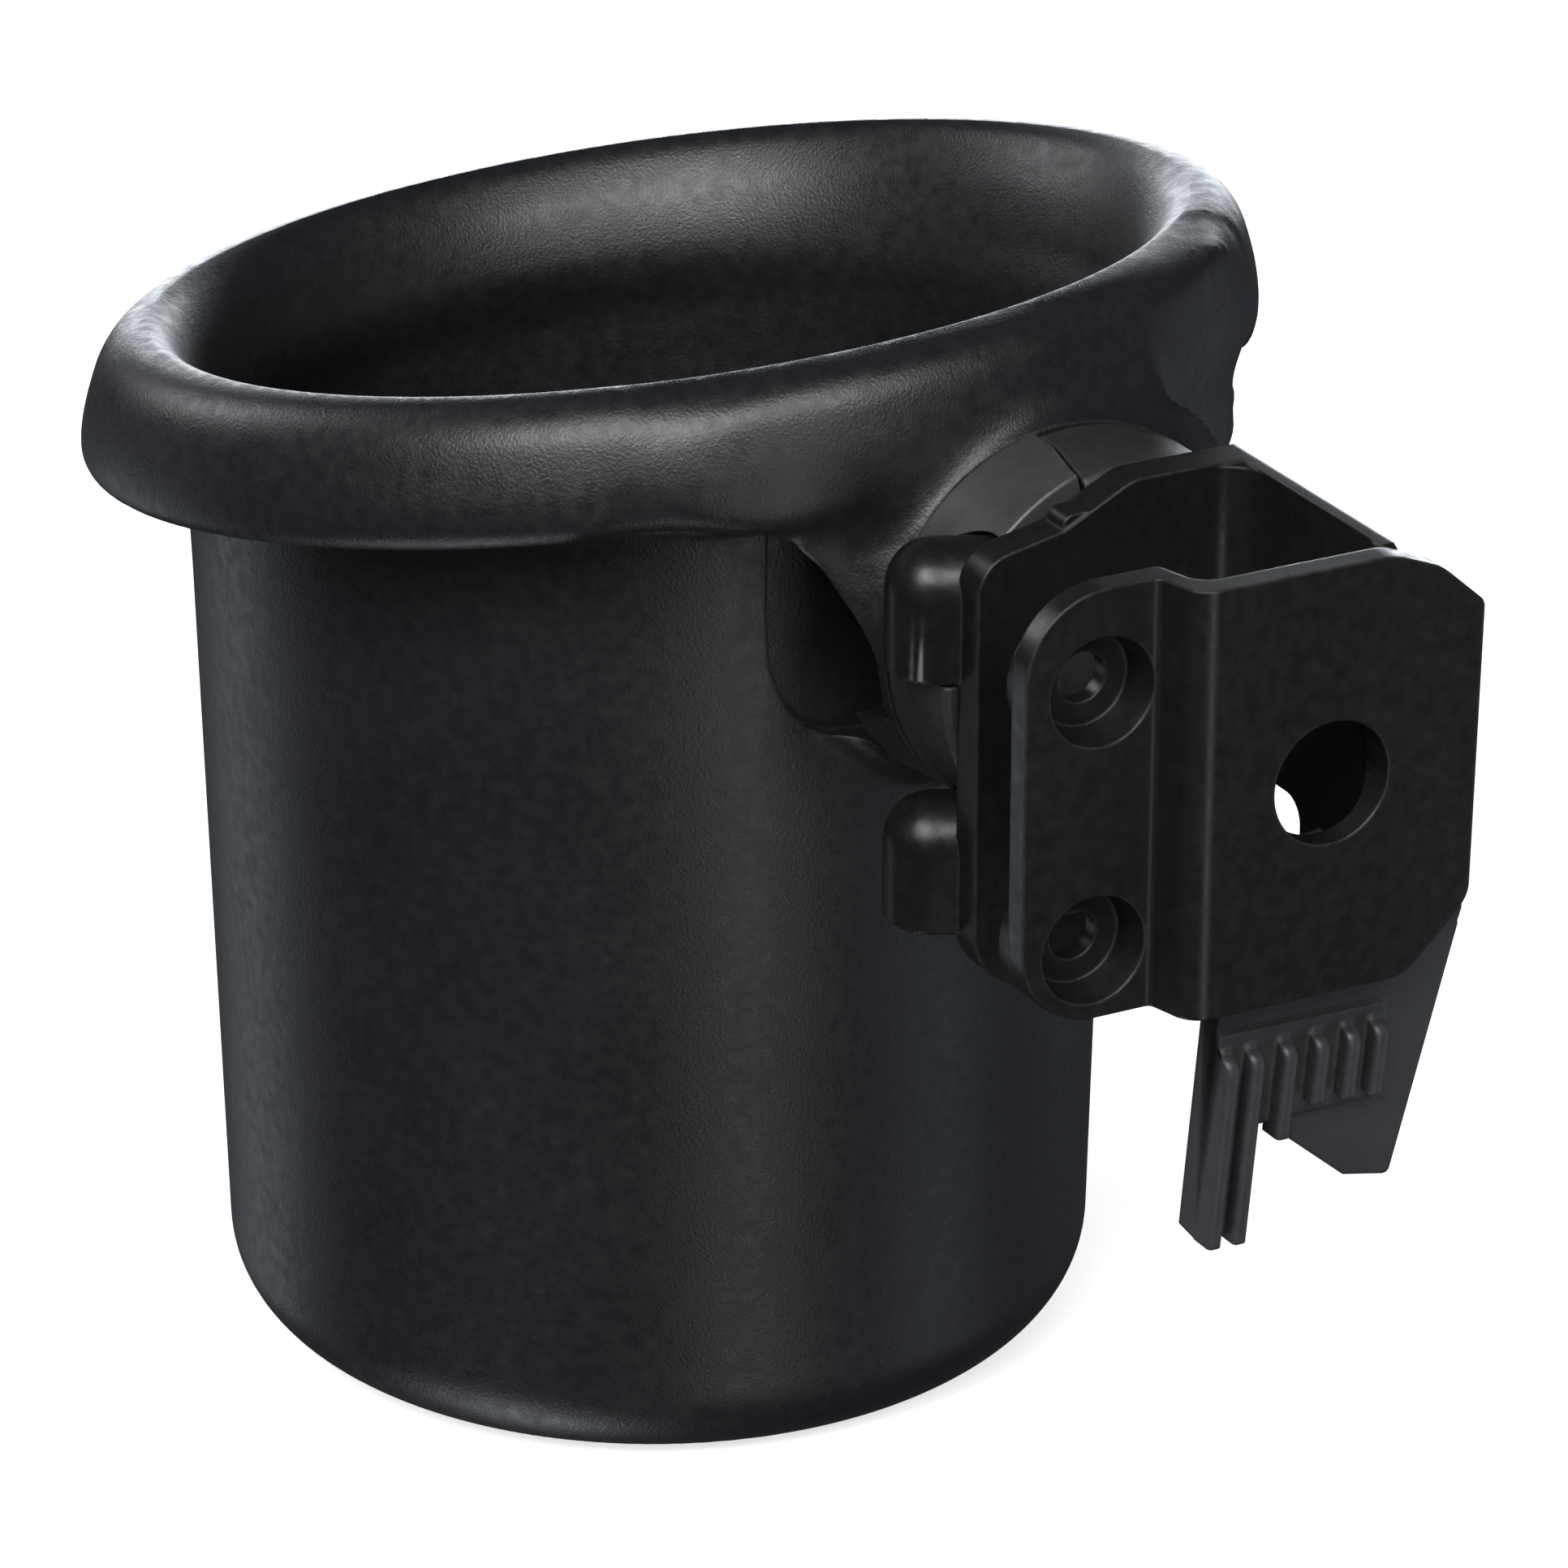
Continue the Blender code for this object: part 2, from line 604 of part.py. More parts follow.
def build_bolt():
    bolt = turned_x("swivel_bolt", AX_Y, AX_Z, (
        (47.3, BOLT_R - 0.6), (47.9, BOLT_R), (BOLT_HEAD_X, BOLT_R),
        (BOLT_HEAD_X, 5.2), (72.3, 5.2), (72.7, 4.8)), 28)
    cut(bolt, prism_x("socket", hexagon(AX_Y, AX_Z, SOCKET_FLATS), 70.2, 75.0))
    return bolt


def build_nut():
    nut = prism_x("swivel_nut", hexagon(AX_Y, AX_Z, NUT_FLATS), NUT_X0, NUT_X1)
    cut(nut, turned_x("bore", AX_Y, AX_Z, ((40, BOLT_R + 0.12), (60, BOLT_R + 0.12)), 28))
    return nut


def build_washer():
    section = rectangle(WASHER_X0, WASHER_X1, WASHER_R, WASHER_HOLE_R)
    return tube_x("swivel_washer", AX_Y, AX_Z, section, 36)


def build_wave_washer(seg=48, waves=3, height=0.22, half_t=0.2, inner_r=3.6, outer_r=6.9):
    """A spring washer with three waves."""
    rings = []
    for i in range(seg):
        angle = 2 * math.pi * i / seg
        x = WAVE_X + height * math.cos(waves * angle)
        section = rectangle(x - half_t, x + half_t, inner_r, outer_r)
        section = (section[0], section[1], section[2], section[3])
        rings.append([swivel_point(at_x, radius, angle) for at_x, radius in section])
    return looped_loft("wave_washer", rings)


def build_ball(seg=16, steps=9):
    angles = [math.pi * k / steps for k in range(1, steps)]
    profile = [(BALL_X - BALL_R * math.cos(a), BALL_R * math.sin(a)) for a in angles]
    return loft("detent_ball", [[(BALL_X - BALL_R, AX_Y, DETENT_Z)],
                                *circles_x(AX_Y, DETENT_Z, profile, seg),
                                [(BALL_X + BALL_R, AX_Y, DETENT_Z)]])


def build_detent_spring():
    return coil("detent_spring", (DETENT_SPRING_X, AX_Y, DETENT_Z), axis=(1, 0, 0),
                radius=1.15, wire_r=0.22, turns=4.5, length=4.9)


# ---- bracket ---------------------------------------------------------------
def panel_plan():
    """Plan outline of the panel, its S bend and the screw flange."""
    # the last corner only gives the flange end a direction, and is dropped
    ends = [(PANEL_X, PANEL_Y1 + 2), (PANEL_X, 1.3), (SCREW_X, 0.0),
            (SCREW_X, FLANGE_Y0 - 2), (60.0, 10.0)]
    front = rounded(ends, [0, 2.6, 0.7, 0, 0], 6)[:-1]
    back = [(x - PANEL_T, y + PANEL_BEND_SHIFT) for x, y in front]
    return front + back[::-1]


def corner_fillet(plate_x, direction, z0):
    """A concave fillet between the side wall and a plate; direction is its way along X."""
    start = plate_x - direction * CORNER_OVERLAP
    reach = CORNER_R + CORNER_OVERLAP
    outline = [(start, SIDE_Y0 + CORNER_OVERLAP),
               (start + direction * reach, SIDE_Y0 + CORNER_OVERLAP)]
    for k in range(7):
        angle = math.pi / 2 * k / 6
        outline.append((start + direction * (reach - CORNER_R * math.sin(angle)),
                        SIDE_Y0 - CORNER_R + CORNER_R * math.cos(angle)))
    outline.append((start, SIDE_Y0 - CORNER_R))
    return prism_z("fillet", outline, z0, BACK_Z1 - 0.3)


def pin_lug():
    """The lug that holds the lever pin's -Y end."""
    nose = []
    for k in range(8):
        angle = math.radians(110 + 20 * k)
        nose.append((PIN_X + LUG_R * math.cos(angle), PIN_Z + LUG_R * math.sin(angle)))
    return prism_y("lug", [(96.5, 70.0), (96.5, 77.0), *nose], 1.6, 4.4)


def bracket_body():
    bracket = prism_z("clamp_bracket", panel_plan(), PANEL_Z0 - 5, PANEL_Z1 + 5)
    combine(bracket, prism_x("outline", rounded_table(PANEL_CORNERS, 6), 85, 105), "INTERSECT")
    side = [(SIDE_X0, SIDE_Z0), (SIDE_X1, SIDE_Z0), (SIDE_X1, BACK_Z1 - 1.2),
            (SIDE_X1 - 2.0, BACK_Z1), (SIDE_X0, BACK_Z1)]
    tab = rounded(rectangle(3.0, 7.0, 103.0, 105.6), 1.0, 3)
    join(bracket,
         prism_y("side", side, SIDE_Y0, SIDE_Y1),
         prism_x("back", rounded_table(BACK_CORNERS, 5), BACK_X0, BACK_X1),
         corner_fillet(BACK_X1, 1, BACK_Z0 + 7.4),
         corner_fillet(PANEL_X - PANEL_T, -1, PIN_Z + 5.5),
         *[boss_solid("boss", z0, z1) for z0, z1 in BOSSES],
         # small tab beside the latch
         prism_x("tab", tab, 70.0, BACK_X1 - 0.2))
    for y, z in SCREWS:
        seat = ((88.7, 6.0), (89.3, 6.5), (92.4, 6.5))
        join(bracket, turned_x("seat", y, z, seat, 36))
    join(bracket, pin_lug())
    return bracket


def build_bracket():
    bracket = bracket_body()
    # each screw bore and its slightly tapered counterbore are one stepped solid
    for y, z in SCREWS:
        cut(bracket, turned_x("screw_bore", y, z, (
            (80, SCREW_HOLE_R), (CBORE_FLOOR, SCREW_HOLE_R),
            (CBORE_FLOOR, CBORE_R - 0.7), (SCREW_X + 1, CBORE_R + 0.05)), 36))
    for _, y, z in INSERTS:
        cut(bracket, turned_x("insert_bore", y, z,
                              ((55, INSERT_HOLE_R), (INSERT_HOLE_END, INSERT_HOLE_R)), 28))
    window = rounded(rectangle(76.5, 84.0, 72.0, 79.8), 2.4, 4)
    cut(bracket,
        turned_x("access", ACCESS_Y, ACCESS_Z, ((90, ACCESS_R), (100, ACCESS_R)), 44),
        # window through the side wall
        prism_y("window", window, 15, 25),
        # bolt hole with the head's recess
        turned_x("bolt_bore", AX_Y, AX_Z, ((60, BOLT_R + 0.1), (70.1, BOLT_R + 0.1),
                                           (70.1, 5.5), (80, 5.5)), 36),
        prism_y("pin_bore", circle(PIN_X, PIN_Z, PIN_R + 0.06, PIN_SEG), 0.5, 40))
    return bracket


def build_insert(name, y, z):
    return tube_x(name, y, z, INSERT_SECTION, 24)


def jaw_pad(name, y_range, z_range, x_range, hole_y, hole_z, hole_r):
    pad = prism_x(name, rounded(rectangle(*y_range, *z_range), 1.5, 4), *x_range)
    cut(pad, turned_x("hole", hole_y, hole_z, ((60, hole_r), (110, hole_r)), 36))
    return pad


def build_back_pad():
    return jaw_pad("jaw_pad_back", y_range=(1.5, 16.0), z_range=(69.0, 96.0),
                   x_range=(73.3, 74.8), hole_y=AX_Y - 0.3, hole_z=AX_Z, hole_r=5.8)


def build_front_pad():
    return jaw_pad("jaw_pad_front", y_range=(4.9, 16.0), z_range=(78.5, 103.5),
                   x_range=(94.6, 96.1), hole_y=ACCESS_Y, hole_z=ACCESS_Z, hole_r=6.3)


# ---- lever -----------------------------------------------------------------
def lever_point(x, y, z):
    """From the lever's own upright frame, x and z from the pin, to its tilted place."""
    cos, sin = math.cos(LEVER_TILT), math.sin(LEVER_TILT)
    return (PIN_X + x * cos + z * sin, y, PIN_Z - x * sin + z * cos)


def lever_prism(name, outline, x0, x1):
    """Extruded through the lever plate; the outline's z is its height before tilting."""
    return loft(name, [[lever_point(x, y, z - PIN_Z) for y, z in outline] for x in (x0, x1)])


def knuckle(y0, y1):
    """A round-topped block about the pin."""
    points = []
    for deg in range(0, 181, 20):
        angle = math.radians(deg)
        points.append(lever_point(KNUCKLE_R * math.cos(angle), 0, KNUCKLE_R * math.sin(angle)))
    points += [lever_point(x, 0, -5.0) for x in (LEVER_BACK, LEVER_FRONT)]
    return prism_y("knuckle", [(x, z) for x, _, z in points], y0, y1)


def rib(middle_y, low):
    """An upright rib with a rounded top and chamfered long edges."""
    rings = []
    root = LEVER_FRONT - 0.3
    for y, inset in ((middle_y - RIB_HALF, RIB_CHAMFER),
                     (middle_y - RIB_HALF + RIB_CHAMFER, 0.0),
                     (middle_y + RIB_HALF - RIB_CHAMFER, 0.0),
                     (middle_y + RIB_HALF, RIB_CHAMFER)):
        crest = LEVER_FRONT + RIB_H - inset
        profile = [(root, RIB_TOP + 1.5), (LEVER_FRONT + 0.5, RIB_TOP + 1.3)]
        for k in range(4):
            angle = math.pi / 2 * k / 3
            profile.append((crest - RIB_TOP_R * (1 - math.sin(angle)),
                            RIB_TOP + 0.9 - RIB_TOP_R * (1 - math.cos(angle))))
        profile += [(crest, low + 0.3), (root, low)]
        rings.append([lever_point(x, y, z - PIN_Z) for x, z in profile])
    return loft("rib", rings)


def build_lever():
    lever = lever_prism("release_lever", rounded_table(LEVER_CORNERS, 3),
                        LEVER_BACK, LEVER_FRONT)
    join(lever, *[knuckle(y0, y1) for y0, y1 in KNUCKLES])
    join(lever, lever_prism("pad", rounded_table(RIB_PAD_CORNERS, 2),
                            LEVER_FRONT - 0.5, LEVER_FRONT + 0.4))
    join(lever, *[rib(y, low) for y, low in RIBS])
    # slot for the bracket's wall, and room for the torsion spring
    cut(lever,
        prism_y("slot", rectangle(80, 110, 66.6, 90), *WALL_SLOT),
        prism_y("spring_room", rectangle(80, 110, 68.2, 90), *SPRING_GAP),
        prism_y("bore", circle(PIN_X, PIN_Z, PIN_R + 0.08, PIN_SEG), 0, 40))
    return lever


def build_pin():
    rings = [[(x, y, z) for x, z in circle(PIN_X, PIN_Z, radius, 24)]
             for y, radius in PIN_PROFILE]
    first, last = PIN_PROFILE[0][0], PIN_PROFILE[-1][0]
    return loft("lever_pin", [[(PIN_X, first, PIN_Z)], *rings, [(PIN_X, last, PIN_Z)]])


def build_lever_spring():
    return coil("lever_spring", (PIN_X, LEVER_SPRING_Y, PIN_Z), axis=(0, 1, 0),
                radius=2.15, wire_r=0.35, turns=4.0, length=3.3)


def main():
    clear_scene()
    units = bpy.context.scene.unit_settings
    units.system = "METRIC"
    units.scale_length = 1.0
    mats = {name: material(name, **settings) for name, settings in MATERIALS.items()}

    axis = (HUB_X0, AX_Y, AX_Z)
    swivel = add_axis("swivel_axis", axis)
    hinge = add_axis("lever_axis", (PIN_X, 0, PIN_Z))

    # pieces that stay with the cup
    finish(build_cup(), mats["cup_black"], (0, 0, 0), sharp=30)
    finish(build_nut(), mats["steel"], (51.5, AX_Y, AX_Z))
    finish(build_washer(), mats["steel"], ((WASHER_X0 + WASHER_X1) / 2, AX_Y, AX_Z))
    finish(build_wave_washer(), mats["spring_steel"], (WAVE_X, AX_Y, AX_Z))

    # pieces that turn with the clamp: object, material, origin
    turning = [
        (build_hub(), "hub_black", axis),
        (build_latch(), "latch_black", axis),
        (build_bracket(), "clamp_black", axis),
        (build_bolt(), "steel", axis),
        (build_ball(), "steel", (BALL_X, AX_Y, DETENT_Z)),
        (build_detent_spring(), "spring_steel", (DETENT_SPRING_X, AX_Y, DETENT_Z)),
        (build_back_pad(), "rubber", (74, 9, 82)),
        (build_front_pad(), "rubber", (95, 11, 88)),
        (build_pin(), "steel", (PIN_X, PIN_Y, PIN_Z)),
        (build_lever_spring(), "spring_steel", (PIN_X, LEVER_SPRING_Y, PIN_Z)),
    ]
    for name, y, z in INSERTS:
        turning.append((build_insert(name, y, z), "brass", (64.5, y, z)))
    for obj, mat_name, origin in turning:
        finish(obj, mats[mat_name], origin)
    lever = finish(build_lever(), mats["lever_black"], (PIN_X, PIN_Y, PIN_Z))

    # parenting reads the axes' world matrices, so they must be up to date
    bpy.context.view_layer.update()
    for obj, _, _ in turning:
        attach(obj, swivel)
    attach(hinge, swivel)
    attach(lever, hinge)
    bpy.context.view_layer.update()


main()
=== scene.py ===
"""Looks of a clamp-on cup holder: fine surfaces, finishes, floor, lights and camera.

The cup stands on z = 0 about the Z axis. Its clamp reaches out along +X: the neck and the
swivel hub, centred on a line parallel to X, then the bracket with its release lever.
Shapes are drawn in millimetres and made in metres. Angles about the swivel axis run from
+Y toward +Z. Stage, lights and camera are in metres.
"""

import json
import math

import bmesh
import bpy
import numpy as np
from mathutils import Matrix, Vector
from mathutils.bvhtree import BVHTree


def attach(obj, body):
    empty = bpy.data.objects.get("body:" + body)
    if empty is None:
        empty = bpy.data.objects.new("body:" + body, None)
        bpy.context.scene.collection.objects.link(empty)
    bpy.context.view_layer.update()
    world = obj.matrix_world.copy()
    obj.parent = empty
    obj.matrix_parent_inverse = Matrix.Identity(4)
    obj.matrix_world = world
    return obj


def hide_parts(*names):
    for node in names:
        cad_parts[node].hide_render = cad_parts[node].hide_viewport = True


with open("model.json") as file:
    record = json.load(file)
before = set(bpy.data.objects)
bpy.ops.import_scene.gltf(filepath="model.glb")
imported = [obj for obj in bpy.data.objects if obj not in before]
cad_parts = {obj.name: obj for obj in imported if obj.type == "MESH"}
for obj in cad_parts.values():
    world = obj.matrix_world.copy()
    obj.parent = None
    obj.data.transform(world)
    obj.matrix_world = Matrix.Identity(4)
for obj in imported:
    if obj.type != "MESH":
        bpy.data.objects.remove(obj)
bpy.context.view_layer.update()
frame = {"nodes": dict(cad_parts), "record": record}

MM = 0.001

# ---- shared sizes, mm ------------------------------------------------------
AXIS = AXIS_Y, AXIS_Z = 12.0, 89.2       # swivel axis
HUB_R = 18.3
HUB_X0, HUB_X1 = 58.3, 69.2
NECK_X = 58.0                            # end face of the cup's neck
BOLT_R = 3.0
DETENT = (AXIS_Y, AXIS_Z - 12.0)         # centre of the detent's well
PIN_X, PIN_Z = 92.4, 72.6                # lever pin, parallel to Y
PIN_R = 1.5
ACCESS, ACCESS_R = (14.4, 88.6), 5.6     # round opening in the panel


# ---- solids ----------------------------------------------------------------
def make(name, verts, faces):
    """An object from points in millimetres, its faces turned outwards."""
    mesh = bpy.data.meshes.new(name)
    mesh.from_pydata([Vector(v) * MM for v in verts], [], faces)
    bm = bmesh.new()
    bm.from_mesh(mesh)
    bmesh.ops.recalc_face_normals(bm, faces=bm.faces)
    bm.to_mesh(mesh)
    bm.free()
    obj = bpy.data.objects.new(name, mesh)
    bpy.context.scene.collection.objects.link(obj)
    return obj


def loft(name, rings):
    """A closed solid through rings of equal point counts. A ring of one point is a pole."""
    verts, faces, starts = [], [], []
    for ring in rings:
        starts.append(len(verts))
        verts.extend(ring)
    for a, b, ring_a, ring_b in zip(starts, starts[1:], rings, rings[1:]):
        count = max(len(ring_a), len(ring_b))
        for i in range(count):
            j = (i + 1) % count
            if len(ring_a) == 1:
                faces.append((a, b + i, b + j))
            elif len(ring_b) == 1:
                faces.append((a + i, b, a + j))
            else:
                faces.append((a + i, b + i, b + j, a + j))
    for start, ring in ((0, rings[0]), (starts[-1], rings[-1])):
        if len(ring) > 1:
            faces.append(tuple(start + i for i in range(len(ring))))
    return make(name, verts, faces)


def rectangle(a0, a1, b0, b1):
    return [(a0, b0), (a1, b0), (a1, b1), (a0, b1)]


def circle(centre, radius, count):
    return [(centre[0] + radius * math.cos(2 * math.pi * i / count),
             centre[1] + radius * math.sin(2 * math.pi * i / count)) for i in range(count)]


def round_poly(points, radii, segments):
    """A polygon's outline with each corner rounded, by one radius or by its own."""
    outline = []
    for i, point in enumerate(points):
        radius = radii[i] if isinstance(radii, (list, tuple)) else radii
        before, corner = Vector(points[i - 1]), Vector(point)
        after = Vector(points[(i + 1) % len(points)])
        back, ahead = (before - corner).normalized(), (after - corner).normalized()
        half = back.angle(ahead) / 2
        if radius <= 0 or abs(half - math.pi / 2) < 1e-3:
            outline.append(tuple(corner))
            continue
        centre = corner + (back + ahead).normalized() * (radius / math.sin(half))
        start = corner + back * (radius / math.tan(half)) - centre
        end = corner + ahead * (radius / math.tan(half)) - centre
        turn = math.atan2(start.x * end.y - start.y * end.x, start.dot(end))
        for k in range(segments + 1):
            t = turn * k / segments
            outline.append((centre.x + start.x * math.cos(t) - start.y * math.sin(t),
                            centre.y + start.x * math.sin(t) + start.y * math.cos(t)))
    return outline


def prism_x(name, yz, x0, x1):
    return loft(name, [[(x, y, z) for y, z in yz] for x in (x0, x1)])


def prism_y(name, xz, y0, y1):
    return loft(name, [[(x, y, z) for x, z in xz] for y in (y0, y1)])


def prism_z(name, xy, z0, z1):
    return loft(name, [[(x, y, z) for x, y in xy] for z in (z0, z1)])


def turned_x(name, centre, profile, segments):
    """A solid of revolution about a line parallel to X; profile is (x, radius)."""
    return loft(name, [[(x, *centre)] if radius == 0 else
                       [(x, y, z) for y, z in circle(centre, radius, segments)]
                       for x, radius in profile])


def rod_x(name, centre, radius, x0, x1, segments):
    return turned_x(name, centre, ((x0, 0), (x0, radius), (x1, radius), (x1, 0)), segments)


def tube_x(name, centre, profile, segments):
    """A closed ring about a line parallel to X; profile is a loop of (x, radius)."""
    verts, faces = [], []
    for x, radius in profile:
        verts.extend((x, y, z) for y, z in circle(centre, radius, segments))
    for k in range(len(profile)):
        a, b = k * segments, ((k + 1) % len(profile)) * segments
        for i in range(segments):
            j = (i + 1) % segments
            faces.append((a + i, b + i, b + j, a + j))
    return make(name, verts, faces)


def bake(obj):
    """Turns the object's modifiers into its mesh."""
    bpy.context.view_layer.update()
    graph = bpy.context.evaluated_depsgraph_get()
    mesh = bpy.data.meshes.new_from_object(obj.evaluated_get(graph))
    obj.modifiers.clear()
    obj.data = mesh


def boolean(obj, other, operation, solver="EXACT"):
    """A Boolean whose second solid is used up."""
    mod = obj.modifiers.new("boolean", "BOOLEAN")
    mod.operation = operation
    mod.solver = solver
    mod.object = other
    bake(obj)
    if len(obj.data.polygons) == 0:
        raise RuntimeError("empty Boolean result on " + obj.name)
    bpy.data.objects.remove(other, do_unlink=True)


def combine(obj, other, operation):
    """A Boolean followed by a weld of the points that fall together."""
    old = obj.data
    boolean(obj, other, operation)
    bpy.data.meshes.remove(old)
    bm = bmesh.new()
    bm.from_mesh(obj.data)
    bmesh.ops.remove_doubles(bm, verts=bm.verts, dist=3e-7)
    bm.to_mesh(obj.data)
    bm.free()


def cut(obj, *others):
    for other in others:
        combine(obj, other, "DIFFERENCE")


def join(obj, *others):
    for other in others:
        combine(obj, other, "UNION")


def ease(t):
    t = min(1.0, max(0.0, t))
    return t * t * (3 - 2 * t)


def spline(points):
    """A Catmull-Rom curve through the points, each span in SPLINE_STEPS parts."""
    curve = []
    last = len(points) - 1
    for i in range(last):
        p0 = Vector(points[max(i - 1, 0)])
        p1, p2 = Vector(points[i]), Vector(points[i + 1])
        p3 = Vector(points[min(i + 2, last)])
        for k in range(SPLINE_STEPS):
            t = k / SPLINE_STEPS
            curve.append(tuple(0.5 * ((2 * p1) + (p2 - p0) * t
                                      + (2 * p0 - 5 * p1 + 4 * p2 - p3) * t * t
                                      + (3 * p1 - p0 - 3 * p2 + p3) * t ** 3)))
    curve.append(tuple(points[-1]))
    return curve


# ---- cup -------------------------------------------------------------------
BASE_R = 42.2            # wall radius carried down to z = 0
TAPER = 0.0207           # radius growth per mm of height
WALL = 2.5
FLOOR = 3.0
BASE_FILLET = 8.9
HOLLOW_FILLET = 7.5
TILT_X = math.tan(math.radians(8.65))    # slopes of the rim plane; it rises toward the clamp
TILT_Y = math.tan(math.radians(3.95))
RIM_DX, RIM_DY = 1.83, 0.8               # rim centre
CUP_SEG = 288
WALL_ZS = (35.0, 62.0, 78.0)
SPLINE_STEPS = 5

# lip section from under its outer edge, over the crest and down inside: (radius, z)
LIP = ((52.8, 94.6), (54.3, 95.1), (55.1, 96.3), (55.2, 97.9), (54.8, 100.2),
       (54.0, 102.9), (53.3, 104.6), (52.2, 106.1), (50.6, 107.2), (48.6, 107.6),
       (47.4, 107.0), (46.2, 105.7), (44.5, 103.0), (43.3, 100.2), (42.5, 97.6))
CREST = 9                                # index of the lip's highest point
CREST_R, CREST_Z = LIP[CREST]
LIP_DIP = 1.9                            # how far the lower edge hangs beside the neck
# share of the dip taken by each lip point up to the crest
LIP_HANG = (1.0, 1.0, 0.75, 0.45, 0.15, 0.0, 0.0, 0.0, 0.0, 0.0)

NECK_SEG = 144
NECK_XS = [36.0, 40.0, 44.0] + [45.0 + 0.5 * k for k in range(26)] + [58.4, 59.6]
NECK_REACH = 7.0         # distance over which the neck gains its full flare
LIP_EDGE_R = 54.2        # the flare stays inside this radius about the rim centre
# growth of the neck's radius into the lip: (angle about the swivel axis, mm)
FLARE = ((-90, 0.6), (-8, 0.6), (2, 5.0), (14, 9.5), (30, 12.5), (50, 12.0), (90, 6.0),
         (125, 11.0), (148, 13.5), (172, 13.5), (186, 0.6), (270, 0.6))

# cleared spaces under the lip, -Y and +Y of the neck: (far x, y stations)
UNDER_LIP = ((52.35, (-70.0, -23.0, -15.0, -6.7)), (37.0, (40.0, 90.0)))

# openings in the neck: the leaf on its -Y side and the inner one about the axis, (x, z)
LEAF = [(43.3, 98.7), (52.3, 99.4), (53.1, 98.3), (54.0, 96.5), (54.9, 94.2), (55.6, 92.6),
        (56.1, 91.3), (56.5, 89.3), (56.7, 86.5), (56.6, 82.1), (43.6, 78.6), (43.3, 79.4)]
INNER = [(43.3, 98.0), (51.8, 98.0), (54.0, 95.6), (56.0, 92.0), (56.0, 82.1), (43.6, 78.6),
         (43.3, 79.4)]
# shallow pocket in the wall beside the neck: (y, z)
POCKET = [(-9.95, 99.0), (-10.0, 88.0), (-9.75, 83.4), (-9.0, 80.7), (-7.9, 78.4),
          (-6.4, 76.7), (-4.0, 75.6), (2.0, 75.0), (2.0, 97.0)]
POCKET_FLOOR_R = 42.7

VOXEL = 0.0008           # metres
SEAM_X, SEAM_Z = 0.030, 0.060            # the seam is blended only past these, metres
BLEND_MM = 2.6           # reach of the blend from the seam
SMOOTH_STEPS = 30
SMOOTH_RATE = 0.6


def wall_r(z):
    return BASE_R + TAPER * z


def dip(t):
    """How far the lip's lower edge hangs down beside the neck, 0 to 1, by azimuth."""
    deg = (math.degrees(t) + 180) % 360 - 180
    return ease((deg + 27) / 11) * ease((84 - deg) / 22)


def cup_ring(radius, z, shear, shift, hang=0.0):
    """One ring; shear lays it parallel to the rim plane, shift centres it on the rim."""
    ring = []
    for i in range(CUP_SEG):
        t = 2 * math.pi * i / CUP_SEG
        x = radius * math.cos(t) + shift * RIM_DX
        y = radius * math.sin(t) + shift * RIM_DY
        ring.append((x, y, z + shear * (x * TILT_X + y * TILT_Y) - hang * LIP_DIP * dip(t)))
    return ring


def lower_rings(floor_z, inset, fillet, steps):
    """The pole of a floor, the fillet round it and the wall above."""
    centre_z = floor_z + fillet
    centre_r = wall_r(centre_z) - inset - fillet
    rings = [[(0.0, 0.0, floor_z)]]
    for k in range(steps + 1):
        a = math.radians(-90 + 90 * k / steps)
        rings.append(cup_ring(centre_r + fillet * math.cos(a),
                              centre_z + fillet * math.sin(a), 0, 0))
    for z in WALL_ZS:
        rings.append(cup_ring(wall_r(z) - inset, z, 0, 0))
    return rings


def outer_solid():
    """The cup's outside as one solid, up to the crest of the lip."""
    rings = lower_rings(0.0, 0.0, BASE_FILLET, 18)
    fillet_z = LIP[0][1] - 2.4
    # the fillet under the lip
    for k in range(9):
        t = k / 8
        quarter = t * math.pi / 2
        rings.append(cup_ring(wall_r(fillet_z + 1.4 * t) + 1.3 * (1 - math.cos(quarter)),
                              fillet_z + 1.4 * math.sin(quarter), 1, 0.3 * t * t, 1.0))
    for k, (radius, z) in enumerate(spline(LIP)[:CREST * SPLINE_STEPS + 1]):
        hang = float(np.interp(k / SPLINE_STEPS, range(len(LIP_HANG)), LIP_HANG))
        rings.append(cup_ring(radius, z, 1, 1, hang))
    rings.append([(0.0, 0.0, CREST_Z)])
    return loft("cup_body_shell", rings)


def hollow():
    """The space inside the cup, reaching above the rim."""
    rings = lower_rings(FLOOR, WALL, HOLLOW_FILLET, 16)
    section = [(wall_r(88.0) - WALL, 88.0), (wall_r(91.0) - WALL, 91.0), (41.75, 94.4)]
    section += reversed(LIP[CREST:])
    for radius, z in spline(section)[:-1]:
        rings.append(cup_ring(radius, z, 1, ease((z - 90.0) / 8.0)))
    rings.append(cup_ring(CREST_R, CREST_Z, 1, 1))
    rings.append(cup_ring(CREST_R + 0.05, CREST_Z + 2, 1, 1))
    rings.append([(0.0, 0.0, CREST_Z + 5)])
    return loft("hollow", rings)


def flare(angle):
    a = (angle + 90) % 360 - 90
    for (a0, f0), (a1, f1) in zip(FLARE, FLARE[1:]):
        if a0 <= a <= a1:
            return f0 + (f1 - f0) * ease((a - a0) / (a1 - a0))
    return FLARE[0][1]


